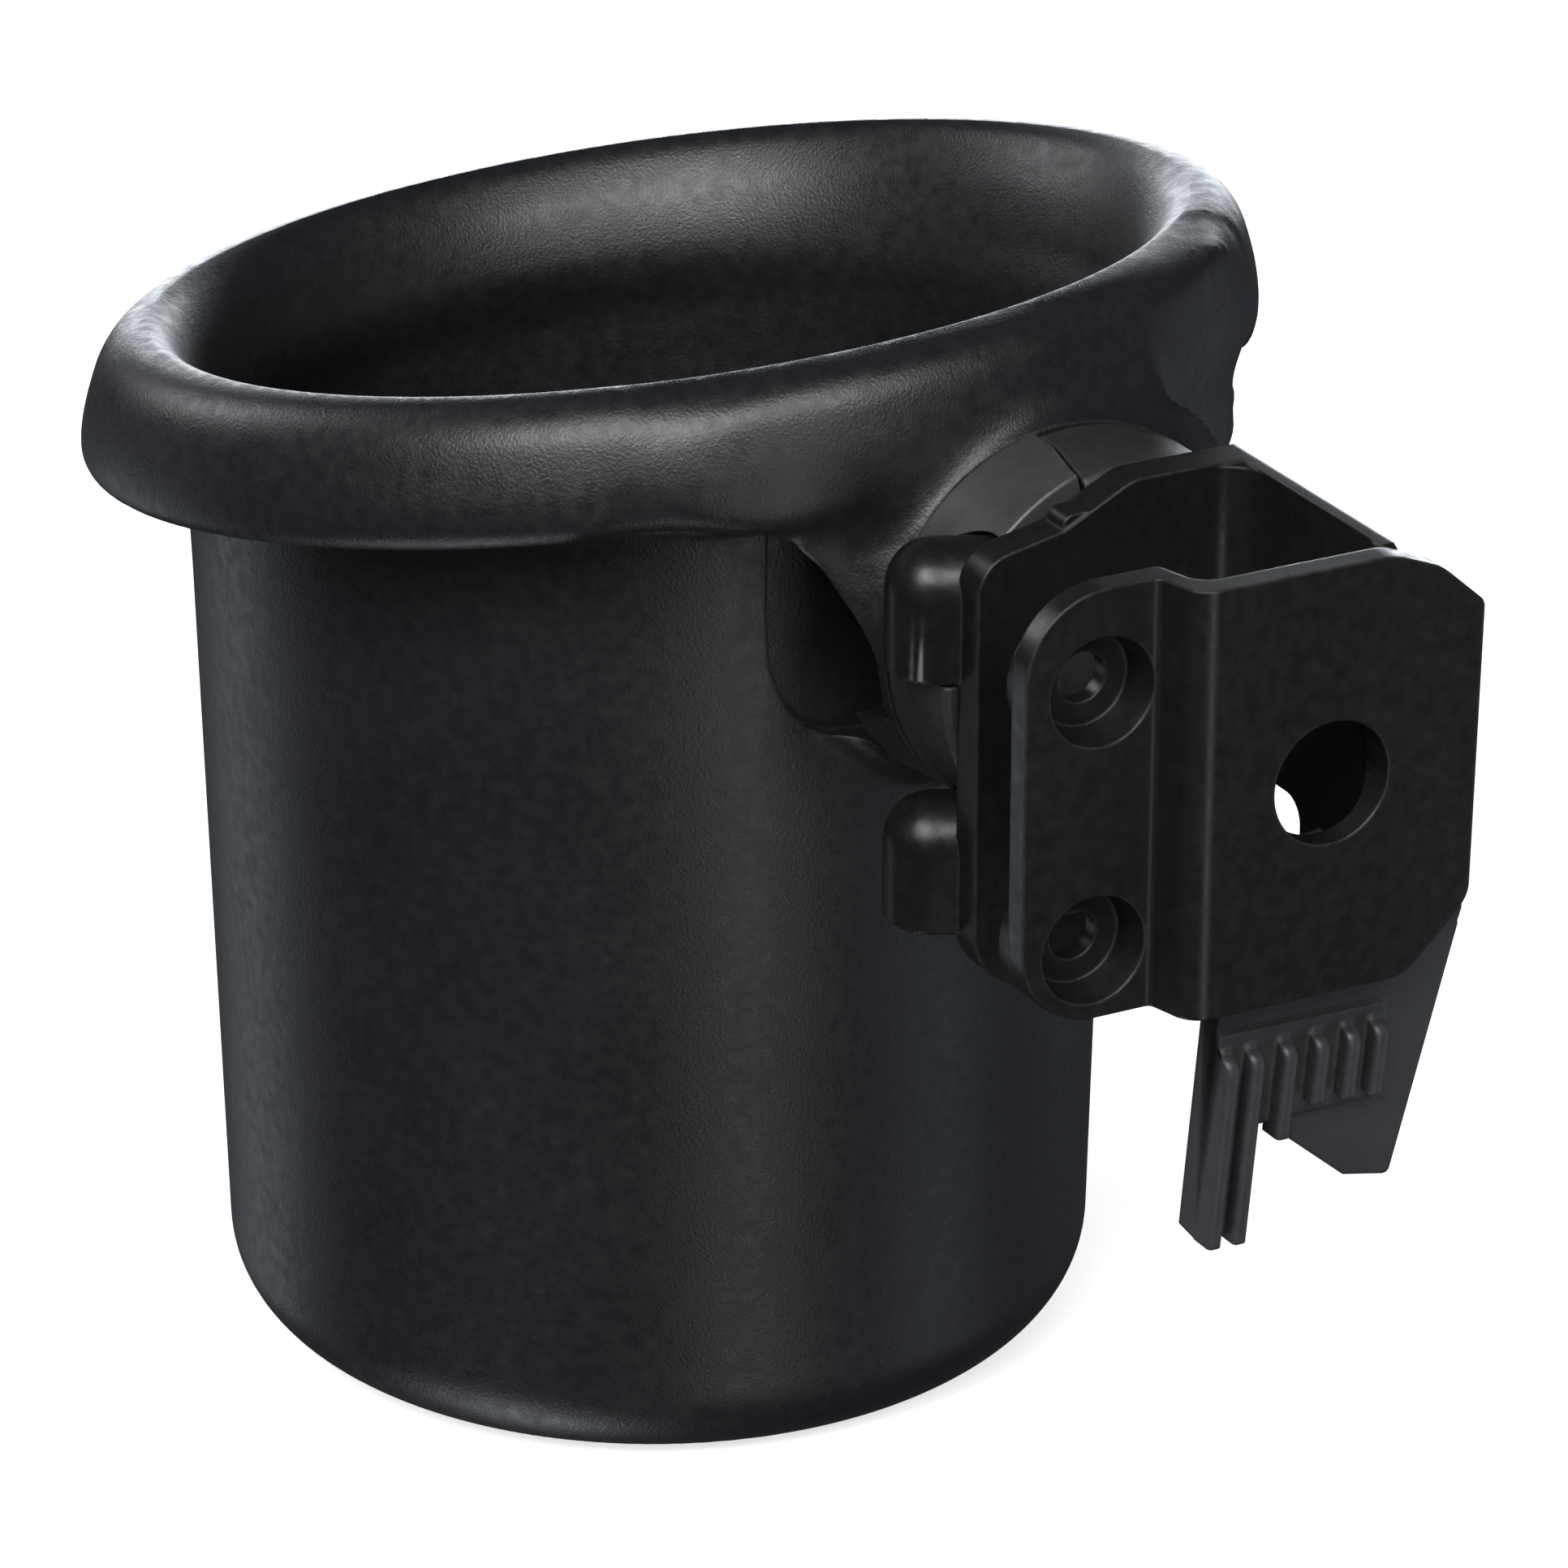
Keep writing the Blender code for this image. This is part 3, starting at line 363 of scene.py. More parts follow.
def neck():
    """The round stub the clamp turns on, spreading into the lip on both sides."""
    rings = []
    for x in NECK_XS:
        ring = []
        for i in range(NECK_SEG):
            deg = 360 * i / NECK_SEG
            a = math.radians(deg)
            # the spread toward +Y leaves the stub later and faster
            power = 1.7 + 1.3 * max(0.0, math.cos(a)) ** 0.5
            share = min(1.7, max(0.0, (NECK_X - x) / NECK_REACH) ** power)
            radius = HUB_R + flare(deg) * share
            while (x < 53 and radius > HUB_R
                   and math.hypot(x - RIM_DX, AXIS_Y + radius * math.cos(a) - RIM_DY)
                   > LIP_EDGE_R):
                radius -= 0.25
            ring.append((x, AXIS_Y + radius * math.cos(a), AXIS_Z + radius * math.sin(a)))
        rings.append(ring)
    return loft("neck", rings)


def under_lip(x1, ys):
    """The space below the lip's underside, which dips from y = -23 to y = -15."""
    x0 = 20.0
    rings = []
    for y in ys:
        top = LIP[1][1] - LIP_DIP * min(1.0, max(0.0, (y + 23.0) / 8.0))
        rings.append([(x0, y, 50.0), (x1, y, 50.0),
                      (x1, y, top + x1 * TILT_X + y * TILT_Y),
                      (x0, y, top + x0 * TILT_X + y * TILT_Y)])
    return loft("under_lip", rings)


def wall_pocket():
    pocket = prism_x("pocket", POCKET, 36.0, 50.0)
    cut(pocket, prism_z("core", circle((0, 0), POCKET_FLOOR_R, 256), 60.0, 120.0))
    return pocket


def tree_of(obj):
    bm = bmesh.new()
    bm.from_mesh(obj.data)
    bmesh.ops.triangulate(bm, faces=bm.faces)
    tree = BVHTree.FromBMesh(bm)
    bm.free()
    return tree


def smooth_seam(mesh, whole_tree, neck_tree, cup_tree):
    """Lays the remeshed points back on the solid, then relaxes those near the seam."""
    co = np.empty(len(mesh.vertices) * 3)
    mesh.vertices.foreach_get("co", co)
    co = co.reshape(-1, 3)
    # a point is near the seam when both source surfaces are close to it
    weight = np.zeros(len(co))
    for i in range(len(co)):
        point = Vector(co[i])
        co[i] = whole_tree.find_nearest(point)[0]
        if co[i, 0] > SEAM_X and co[i, 2] > SEAM_Z:
            far = max(neck_tree.find_nearest(point)[3], cup_tree.find_nearest(point)[3]) * 1000
            weight[i] = min(1.0, max(0.0, (BLEND_MM - far) / (0.6 * BLEND_MM)))
    # the neck's outer end stays as it is: it is cut flat afterwards
    weight *= np.clip((58.2 - co[:, 0] * 1000) / 2.0, 0, 1)
    edges = np.empty(len(mesh.edges) * 2, np.int64)
    mesh.edges.foreach_get("vertices", edges)
    start, end = edges.reshape(-1, 2).T
    degree = np.bincount(edges, minlength=len(co)).astype(float)
    for _ in range(SMOOTH_STEPS):
        total = np.zeros_like(co)
        for axis in range(3):
            total[:, axis] = (np.bincount(start, co[end, axis], len(co))
                              + np.bincount(end, co[start, axis], len(co)))
        mean = total / degree[:, None]
        co += (mean - co) * (SMOOTH_RATE * weight)[:, None]
    mesh.vertices.foreach_set("co", co.ravel())
    mesh.update()


def build_cup():
    """The cup in one skin: lip, wall and neck flow into each other, then it is cut open."""
    body = outer_solid()
    stub = neck()
    lid = loft("lid", [cup_ring(75, z, 1, 1) for z in (106.4, 140.0)])
    for cutter in (lid, *(under_lip(*space) for space in UNDER_LIP)):
        boolean(stub, cutter, "DIFFERENCE")
    neck_tree = tree_of(stub)
    cup_tree = tree_of(body)
    boolean(body, stub, "UNION")
    whole_tree = tree_of(body)
    mod = body.modifiers.new("remesh", "REMESH")
    mod.mode = "VOXEL"
    mod.voxel_size = VOXEL
    mod.adaptivity = 0.0
    bake(body)
    smooth_seam(body.data, whole_tree, neck_tree, cup_tree)
    bore_r, step_r = BOLT_R + 0.15, 7.6
    for cutter in (
            prism_x("end", rectangle(-60, 90, 20, 160), NECK_X, 75),
            hollow(),
            prism_y("leaf", round_poly(LEAF, 0.5, 6), -16.9, -1.0),
            prism_y("inner", INNER, -3.0, 19.5),
            wall_pocket(),
            rod_x("nut_room", AXIS, 7.1, 46.4, 56.0, 108),
            turned_x("bore", AXIS, ((52.0, 0), (52.0, bore_r), (57.2, bore_r),
                                    (57.2, step_r), (60.0, step_r), (60.0, 0)), 96),
            tube_x("groove", AXIS,
                   ((57.3, 13.2), (59.0, 13.2), (59.0, 10.8), (57.3, 10.8)), 120)):
        boolean(body, cutter, "DIFFERENCE", "MANIFOLD")
    return body


# ---- swivel stack ----------------------------------------------------------
LATCH_A0, LATCH_A1 = 102.0, 152.0        # degrees
LATCH_R0, LATCH_R1 = 15.5, HUB_R + 0.25
SLOT_A0, SLOT_A1 = LATCH_A0 - 1.0, LATCH_A1 + 1.0
SLOT_R0, SLOT_R1 = 15.2, 22.0

BOSSES = ((90.4, 102.4), (66.7, 78.5))   # bottom and top z of each
BOSS_R = 4.35
BOSS_A, BOSS_B = (65.15, -5.3), (67.6, -0.6)   # ends of its middle line in plan
BOSS_PLAY = 0.35         # clearance of the bosses' pockets


def spaced(first, last, steps):
    return [first + (last - first) * k / steps for k in range(steps + 1)]


def arc_run(radius, degs, x_at):
    """Points about the swivel axis; x_at gives x at each angle."""
    return [(x_at(deg), AXIS_Y + radius * math.cos(math.radians(deg)),
             AXIS_Z + radius * math.sin(math.radians(deg))) for deg in degs]


def arc_solid(name, runs, along_first):
    """A bar between four equal runs; runs 0 and 3 are opposite each other.

    along_first orders the last two sides, which steers how near-flat faces merge later.
    """
    count = len(runs[0])
    faces = []
    for k in range(count - 1):
        a, b, c, d = (run * count + k for run in range(4))
        sides = [(b, d, d + 1, b + 1), (a, a + 1, c + 1, c)]
        if along_first:
            sides.reverse()
        faces += [(a, b, b + 1, a + 1), (c, c + 1, d + 1, d)] + sides
    for k in (0, count - 1):
        faces.append((k, 2 * count + k, 3 * count + k, count + k))
    return make(name, [point for run in runs for point in run], faces)


def boss_solid(z0, z1, grow=0.0):
    """An upright post with a domed top, long in plan."""
    (ax, ay), (bx, by) = BOSS_A, BOSS_B
    along = math.atan2(by - ay, bx - ax)
    full_r = BOSS_R + grow
    dome_z = z1 - BOSS_R
    levels = [(z0 - grow, full_r - 0.4), (z0 - grow + 0.4, full_r)]
    levels += [(dome_z + full_r * math.sin(math.radians(t)), full_r * math.cos(math.radians(t)))
               for t in range(0, 87, 6)]
    rings = []
    for z, radius in levels:
        ring = []
        for (x, y), start in ((BOSS_A, along + math.pi / 2), (BOSS_B, along - math.pi / 2)):
            for k in range(33):
                a = start + math.pi * k / 32
                ring.append((x + radius * math.cos(a), y + radius * math.sin(a), z))
        rings.append(ring)
    return loft("boss", rings)


def slot_far_x(deg):
    """The slot's +X face: a rising ramp, then open past the hub."""
    return min(80.0, 61.9 + 1.55 * (deg - SLOT_A0) + (20.0 if deg > 107.5 else 0.0))


def latch_far_x(deg):
    """The latch's +X face: a steep ramp, a step and a gentle rise."""
    if deg < 105.5:
        return 61.6 + 5.4 * (deg - LATCH_A0) / 3.5
    return min(68.1 + 1.1 * (deg - LATCH_A0) / (LATCH_A1 - LATCH_A0), 69.15)


def build_hub():
    hub = turned_x("swivel_hub", AXIS,
                   ((HUB_X0, 0), (HUB_X0, HUB_R - 0.5), (HUB_X0 + 0.5, HUB_R),
                    (HUB_X1 - 0.4, HUB_R), (HUB_X1, HUB_R - 0.4), (HUB_X1, 0)), 192)
    degs = spaced(SLOT_A0, SLOT_A1, 208)
    runs = [arc_run(radius, degs, x_at) for x_at in (lambda deg: 50.0, slot_far_x)
            for radius in (SLOT_R0, SLOT_R1)]
    cut(hub, arc_solid("slot", runs, along_first=False))
    cut(hub, *(boss_solid(z0, z1, BOSS_PLAY) for z0, z1 in BOSSES))
    cut(hub, rod_x("bore", AXIS, BOLT_R + 0.1, 50, 80, 84))
    cut(hub, rod_x("well", DETENT, 1.65, 50, 66.5, 60))
    return hub


def build_latch():
    """A raised ring segment that fills the hub's slot."""
    degs = spaced(LATCH_A0, LATCH_A1, 90)
    runs = [arc_run(radius, degs, x_at) for radius in (LATCH_R0, LATCH_R1)
            for x_at in (lambda deg: HUB_X0, latch_far_x)]
    latch = arc_solid("latch_ring", runs, along_first=True)
    cut(latch, boss_solid(*BOSSES[0], BOSS_PLAY))
    return latch


def build_bolt():
    """A bolt along the swivel axis, its head and hexagonal socket toward +X."""
    bolt = turned_x("swivel_bolt", AXIS,
                    ((47.3, 0), (47.3, BOLT_R - 0.6), (47.9, BOLT_R), (70.4, BOLT_R),
                     (70.4, 5.2), (72.3, 5.2), (72.7, 4.8), (72.7, 0)), 84)
    across_flats = 4.0
    cut(bolt, prism_x("socket", circle(AXIS, across_flats / math.sqrt(3), 6), 70.2, 75.0))
    return bolt


def build_ball():
    x, radius, steps = 59.3, 1.5, 24
    profile = [(x - radius, 0)]
    for k in range(1, steps):
        a = math.pi * k / steps
        profile.append((x - radius * math.cos(a), radius * math.sin(a)))
    profile.append((x + radius, 0))
    return turned_x("detent_ball", DETENT, profile, 40)


def coil(name, centre, axis, radius, wire, turns, length):
    """A closed helical wire, of radius wire, about an axis through centre."""
    per_turn, sides = 40, 14
    axis = Vector(axis).normalized()
    across = axis.orthogonal().normalized()
    square = axis.cross(across)
    rings = []
    steps = int(turns * per_turn)
    for s in range(steps + 1):
        t = s / steps
        a = 2 * math.pi * turns * t
        radial = across * math.cos(a) + square * math.sin(a)
        middle = Vector(centre) + axis * (length * (t - 0.5)) + radial * radius
        ring = []
        for k in range(sides):
            b = 2 * math.pi * k / sides
            ring.append(tuple(middle + radial * (wire * math.cos(b))
                              + axis * (wire * math.sin(b))))
        rings.append(ring)
    return loft(name, rings)


# ---- bracket ---------------------------------------------------------------
# back plate, the one against the hub
BACK_X0, BACK_X1 = 69.5, 73.0
BACK_Y0, BACK_Y1 = -5.3, 21.8
BACK_Z0, BACK_Z1 = 62.3, 107.8
# side wall, which joins the back plate to the panel
SIDE_Y0, SIDE_Y1 = 20.7, 21.8
FILLET_R, FILLET_SUNK = 3.0, 0.5
# panel, farthest from the cup, stepping back to the screw flange toward -Y
PANEL_X = 98.8           # +X face of the panel
PANEL_T = 2.4
PANEL_Z0, PANEL_Z1 = 69.0, 108.1
PANEL_Y1 = 29.0
BEND_SHIFT = 1.25        # moves the far side of the bend so that it stays as thick
SCREW_X = 94.0           # +X face of the screw flange
FLANGE_Y0 = -12.5
SCREWS = ((-5.2, 98.9), (-5.6, 75.4))    # y, z
COUNTERBORE_R, COUNTERBORE_FLOOR = 5.07, 90.4
SCREW_HOLE_R = 2.25
INSERTS = ((-4.9, 95.6), (-4.9, 71.9))   # y, z
INSERT_R = 2.45


def panel_sheet():
    """The panel, its S bend and the screw flange, trimmed to their outline."""
    ends = [(PANEL_X, PANEL_Y1 + 2), (PANEL_X, 1.3), (SCREW_X, 0.0), (SCREW_X, FLANGE_Y0 - 2),
            (60.0, 10.0)]
    # the last point only closes the polygon
    face = round_poly(ends, [0, 2.6, 0.7, 0, 0], 18)[:-1]
    behind = [(x - PANEL_T, y + BEND_SHIFT) for x, y in reversed(face)]
    panel = prism_z("clamp_bracket", face + behind, PANEL_Z0 - 5, PANEL_Z1 + 5)
    outline = round_poly([(FLANGE_Y0, PANEL_Z0 + 0.1), (22.4, PANEL_Z0), (28.6, 75.2),
                          (PANEL_Y1, 102.4), (24.6, 106.3), (20.0, PANEL_Z1),
                          (FLANGE_Y0, PANEL_Z1)],
                         [7.2, 4.0, 3.0, 1.3, 6.0, 6.0, 7.6], 18)
    combine(panel, prism_x("outline", outline, 85, 105), "INTERSECT")
    return panel


def side_wall():
    low = BACK_Z0 + 6.6
    return prism_y("side", [(70.0, low), (97.5, low), (97.5, BACK_Z1 - 1.2), (95.5, BACK_Z1),
                            (70.0, BACK_Z1)], SIDE_Y0, SIDE_Y1)


def back_plate():
    outline = round_poly([(BACK_Y0, BACK_Z0), (BACK_Y1, BACK_Z0), (BACK_Y1, BACK_Z1),
                          (9.8, BACK_Z1), (3.0, 104.3), (BACK_Y0, 102.6)],
                         [5.5, 5.5, 0, 4, 2, 3.6], 15)
    return prism_x("back", outline, BACK_X0, BACK_X1)


def corner_fillet(x, away, z0):
    """A fillet on the side wall's -Y face; it grows from x in the direction away."""
    reach = FILLET_SUNK + FILLET_R
    points = [(x, SIDE_Y0 + FILLET_SUNK), (x + away * reach, SIDE_Y0 + FILLET_SUNK)]
    for k in range(19):
        a = math.pi / 2 * k / 18
        points.append((x + away * (reach - FILLET_R * math.sin(a)),
                       SIDE_Y0 - FILLET_R + FILLET_R * math.cos(a)))
    points.append((x, SIDE_Y0 - FILLET_R))
    return prism_z("fillet", points, z0, BACK_Z1 - 0.3)


def pin_lug():
    """The lug round the -Y end of the lever pin, grown from the panel."""
    nose = []
    for k in range(29):
        a = math.radians(110 + 5 * k)
        nose.append((PIN_X + 3.0 * math.cos(a), PIN_Z + 3.0 * math.sin(a)))
    return prism_y("lug", [(96.5, 70.0), (96.5, 77.0)] + nose, 1.6, 4.4)


def build_bracket():
    panel = panel_sheet()
    join(panel, side_wall(), back_plate(),
         corner_fillet(BACK_X1 - FILLET_SUNK, 1, BACK_Z0 + 7.4),
         corner_fillet(PANEL_X - PANEL_T + FILLET_SUNK, -1, PIN_Z + 5.5))
    join(panel, *(boss_solid(z0, z1) for z0, z1 in BOSSES))
    # small tab at the top of the back plate
    join(panel, prism_x("tab", round_poly(rectangle(3.0, 7.0, 103.0, 105.6), 1.0, 9),
                        70.0, BACK_X1 - 0.2))
    for screw in SCREWS:
        join(panel, turned_x("seat", screw, ((88.7, 0), (88.7, 6.0), (89.3, 6.5), (92.4, 6.5),
                                             (92.4, 0)), 108))
    join(panel, pin_lug())
    for screw in SCREWS:
        cut(panel, turned_x("screw_bore", screw,
                            ((80, 0), (80, SCREW_HOLE_R), (COUNTERBORE_FLOOR, SCREW_HOLE_R),
                             (COUNTERBORE_FLOOR, COUNTERBORE_R - 0.7),
                             (SCREW_X + 1, COUNTERBORE_R + 0.05), (SCREW_X + 1, 0)), 108))
    for insert in INSERTS:
        cut(panel, rod_x("insert_bore", insert, INSERT_R, 55, 67.4, 84))
    cut(panel, rod_x("access", ACCESS, ACCESS_R, 90, 100, 132))
    # rounded window in the side wall
    cut(panel, prism_y("window", round_poly(rectangle(76.5, 84.0, 72.0, 79.8), 2.4, 12), 15, 25))
    # bolt hole with the head's recess
    cut(panel, turned_x("bolt_bore", AXIS, ((60, 0), (60, BOLT_R + 0.1), (70.1, BOLT_R + 0.1),
                                            (70.1, 5.5), (80, 5.5), (80, 0)), 108))
    cut(panel, prism_y("pin_bore", circle((PIN_X, PIN_Z), PIN_R + 0.06, 64), 0.5, 40))
    return panel


def jaw_pad(name, yz, x0, x1, centre, hole_r):
    """A flat rubber pad with a round hole."""
    pad = prism_x(name, round_poly(yz, 1.5, 12), x0, x1)
    cut(pad, rod_x("hole", centre, hole_r, 60, 110, 108))
    return pad


# ---- lever -----------------------------------------------------------------
# The lever is drawn upright, x counted from the pin, then tilted about the pin.
LEVER_TILT = math.radians(7.5)
LEVER_FRONT = 1.7                        # +X face of the plate
LEVER_BACK = LEVER_FRONT - 2.9
LEVER_Y0 = 7.45
KNUCKLE_R = 2.9
SPRING_Y0, SPRING_Y1 = 10.2, 14.9        # room for the spring between two knuckles
SLOT_Y0, SLOT_Y1 = 19.6, 22.2            # slot for the bracket's side wall
KNUCKLES = ((LEVER_Y0, SPRING_Y0), (SPRING_Y1, SLOT_Y0), (SLOT_Y1, 30.3))
# ribs: (y of the middle, z of the lower end)
RIBS = ((8.15, 43.0), (10.7, 42.9), (14.0, 53.0), (17.25, 55.9), (20.4, 55.7), (23.2, 55.4))
RIB_H = 2.2
RIB_TOP = 61.7
RIB_HALF = 0.7
RIB_EDGE = 0.45          # rounding along the rib
RIB_NOSE = 1.5           # rounding of its upper end


def lever_point(x, y, z):
    """From the lever's upright frame, x and z counted from the pin, to its rest position."""
    c, s = math.cos(LEVER_TILT), math.sin(LEVER_TILT)
    return (PIN_X + x * c + z * s, y, PIN_Z - x * s + z * c)


def lever_prism_x(name, yz, x0, x1):
    """Extruded through the lever plate; z is counted from the floor."""
    return loft(name, [[lever_point(x, y, z - PIN_Z) for y, z in yz] for x in (x0, x1)])


def knuckle(y0, y1):
    """A half round over the pin, with a straight foot in the plate."""
    outline = []
    for deg in range(0, 181, 6):
        a = math.radians(deg)
        outline.append((KNUCKLE_R * math.cos(a), KNUCKLE_R * math.sin(a)))
    outline += [(LEVER_BACK, -5.0), (LEVER_FRONT, -5.0)]
    return loft("knuckle", [[lever_point(x, y, z) for x, z in outline] for y in (y0, y1)])


def rib(y, low):
    """An upright rib with rounded edges: stations across it are (y, inset of its crest)."""
    stations = []
    for k in range(7):
        a = k * math.pi / 12
        stations.append((y - RIB_HALF + RIB_EDGE * (1 - math.cos(a)),
                         RIB_EDGE * (1 - math.sin(a))))
    stations += [(2 * y - side, inset) for side, inset in reversed(stations)]
    rings = []
    for side, inset in stations:
        crest = LEVER_FRONT + RIB_H - inset
        profile = [(LEVER_FRONT - 0.3, RIB_TOP + 1.5), (LEVER_FRONT + 0.5, RIB_TOP + 1.3)]
        for k in range(10):
            a = math.pi / 2 * k / 9
            profile.append((crest - RIB_NOSE * (1 - math.sin(a)),
                            RIB_TOP + 0.9 - RIB_NOSE * (1 - math.cos(a))))
        profile += [(crest, low + 0.3), (LEVER_FRONT - 0.3, low)]
        rings.append([lever_point(x, side, z - PIN_Z) for x, z in profile])
    return loft("rib", rings)


def build_lever():
    outline = round_poly([(LEVER_Y0, 71.0), (LEVER_Y0, 42.9), (11.4, 42.8), (11.4, 54.0),
                          (13.3, 53.9), (22.1, 46.3), (26.9, 45.2), (31.0, 70.3), (30.6, 71.0)],
                         [0, 0.3, 0.3, 0.3, 0.2, 0.8, 0.6, 0.5, 0.3], 9)
    lever = lever_prism_x("release_lever", outline, LEVER_BACK, LEVER_FRONT)
    join(lever, *(knuckle(y0, y1) for y0, y1 in KNUCKLES))
    # raised pad under the ribs
    pad = round_poly([(LEVER_Y0, 64.3), (LEVER_Y0, 43.2), (11.4, 43.2), (11.4, 54.3),
                      (24.4, 54.3), (24.4, 64.0)], [0.3, 0.3, 0.3, 0.3, 0.8, 0.8], 6)
    join(lever, lever_prism_x("pad", pad, LEVER_FRONT - 0.5, LEVER_FRONT + 0.4))
    join(lever, *(rib(y, low) for y, low in RIBS))
    cut(lever,
        prism_y("slot", rectangle(80, 110, 66.6, 90), SLOT_Y0, SLOT_Y1),
        prism_y("spring_room", rectangle(80, 110, 68.2, 90), SPRING_Y0, SPRING_Y1),
        prism_y("bore", circle((PIN_X, PIN_Z), PIN_R + 0.08, 64), 0, 40))
    return lever


# ---- edges and shading -----------------------------------------------------
def soften(obj, width, angle=40, segments=3):
    """Rounded edges that catch the light, as on any moulding; width is in metres."""
    bm = bmesh.new()
    bm.from_mesh(obj.data)
    bmesh.ops.remove_doubles(bm, verts=bm.verts, dist=2e-6)
    bmesh.ops.dissolve_limit(bm, angle_limit=math.radians(0.3), verts=bm.verts, edges=bm.edges)
    bm.to_mesh(obj.data)
    bm.free()
    bevel = obj.modifiers.new("edges", "BEVEL")
    bevel.width = width
    bevel.segments = segments
    bevel.limit_method = "ANGLE"
    bevel.angle_limit = math.radians(angle)
    bevel.use_clamp_overlap = True
    bevel.miter_outer = "MITER_ARC"
    flats = obj.modifiers.new("flats", "WEIGHTED_NORMAL")
    flats.keep_sharp = True
    flats.weight = 100
    return obj


def shade(obj, sharp):
    obj.data.shade_smooth()
    obj.data.set_sharp_from_angle(angle=math.radians(sharp))


# ---- materials -------------------------------------------------------------
def feed(tree, socket, value):
    """Links the input to another node's output, or sets its value."""
    if isinstance(value, bpy.types.NodeSocket):
        tree.links.new(value, socket)
    else:
        socket.default_value = value


def node(tree, kind, **values):
    """A node with its settings and named inputs."""
    made = tree.nodes.new(kind)
    for key, value in values.items():
        if hasattr(made, key):
            setattr(made, key, value)
        else:
            feed(tree, made.inputs[key], value)
    return made


def math_node(tree, operation, *values, kind="ShaderNodeMath", **settings):
    """A math node with its inputs in order."""
    made = node(tree, kind, operation=operation, **settings)
    for socket, value in zip(made.inputs, values):
        feed(tree, socket, value)
    return made.outputs["Value"]


def map_range(tree, value, source, target=(0.0, 1.0)):
    made = node(tree, "ShaderNodeMapRange", **{
        "From Min": source[0], "From Max": source[1],
        "To Min": target[0], "To Max": target[1], "Value": value})
    return made.outputs[0]


def new_material(name):
    mat = bpy.data.materials.new(name)
    mat.use_nodes = True
    tree = mat.node_tree
    return mat, tree, next(n for n in tree.nodes if n.type == "BSDF_PRINCIPLED")


def surface(name, dark, light, rough, metallic=0.0, grain=4200.0, grain_mm=0.012,
            grain_part=0.5, edge=0.0005, edge_wear_and_highlight_color=None, rough_var=0.07, brushed=None,
            specular=0.5):
    """A finish from its dark and light colours: slow mottling, fine grain, light wear together
    with a painted highlight on softened edges, and roughness that varies.

    grain is the noise scale, grain_mm its depth and grain_part its strength; edge is the
    softening radius in metres; brushed stretches the grain by a scale per axis.
    """
    mat, tree, bsdf = new_material(name)
    bsdf.inputs["Metallic"].default_value = metallic
    bsdf.inputs["Specular IOR Level"].default_value = specular
    where = node(tree, "ShaderNodeTexCoord").outputs["Object"]
    fine_at = where
    if brushed:
        stretch = node(tree, "ShaderNodeMapping", Scale=brushed, Vector=where)
        fine_at = stretch.outputs["Vector"]

    def noise(scale, detail, roughness, vector):
        return node(tree, "ShaderNodeTexNoise", Scale=scale, Detail=detail,
                    Roughness=roughness, Vector=vector).outputs["Fac"]

    slow = noise(scale=55.0, detail=4.0, roughness=0.6, vector=where)
    mid = noise(scale=700.0, detail=3.0, roughness=0.55, vector=where)
    fine = noise(scale=grain, detail=2.0, roughness=0.6, vector=fine_at)
    # colour: slow mottling with a little of the middle noise in it
    mid_share = 0.35
    mixed = math_node(tree, "MULTIPLY_ADD", mid, mid_share, slow)
    spread = map_range(tree, mixed, source=(0.40, 0.95))
    colour = node(tree, "ShaderNodeMix", data_type="RGBA", A=(*dark, 1), B=(*light, 1),
                  Factor=spread)
    # wear and painted highlight: a lighter colour where the rounded normal leaves the face's own,
    # broken up by the middle noise
    rounded = node(tree, "ShaderNodeBevel", samples=4, Radius=edge).outputs["Normal"]
    own = node(tree, "ShaderNodeNewGeometry").outputs["Normal"]
    dot = math_node(tree, "DOT_PRODUCT", rounded, own, kind="ShaderNodeVectorMath")
    edge_wear_and_highlight = map_range(tree, dot, source=(0.985, 0.86))
    broken_wear_and_highlight = math_node(tree, "MULTIPLY", edge_wear_and_highlight, mid)
    # the edge colour is partly wear and partly a painted highlight on the rims
    wear_and_highlight_color = edge_wear_and_highlight_color or tuple(c * 2.4 for c in light)
    wear_and_highlight_mix = node(tree, "ShaderNodeMix", data_type="RGBA", Factor=broken_wear_and_highlight,
                A=colour.outputs["Result"], B=(*wear_and_highlight_color, 1))
    tree.links.new(wear_and_highlight_mix.outputs["Result"], bsdf.inputs["Base Color"])
    # roughness: varied by the middle noise, smoother on the edge band of wear and painted
    # highlight
    varied = map_range(tree, mid, source=(0.3, 0.7), target=(rough - rough_var, rough + rough_var))
    worn_rough = -0.08
    roughness = math_node(tree, "MULTIPLY_ADD", broken_wear_and_highlight, worn_rough, varied, use_clamp=True)
    tree.links.new(roughness, bsdf.inputs["Roughness"])
    bump = node(tree, "ShaderNodeBump", Strength=grain_part, Distance=grain_mm * 0.001,
                Height=fine, Normal=rounded)
    tree.links.new(bump.outputs["Normal"], bsdf.inputs["Normal"])
    return mat


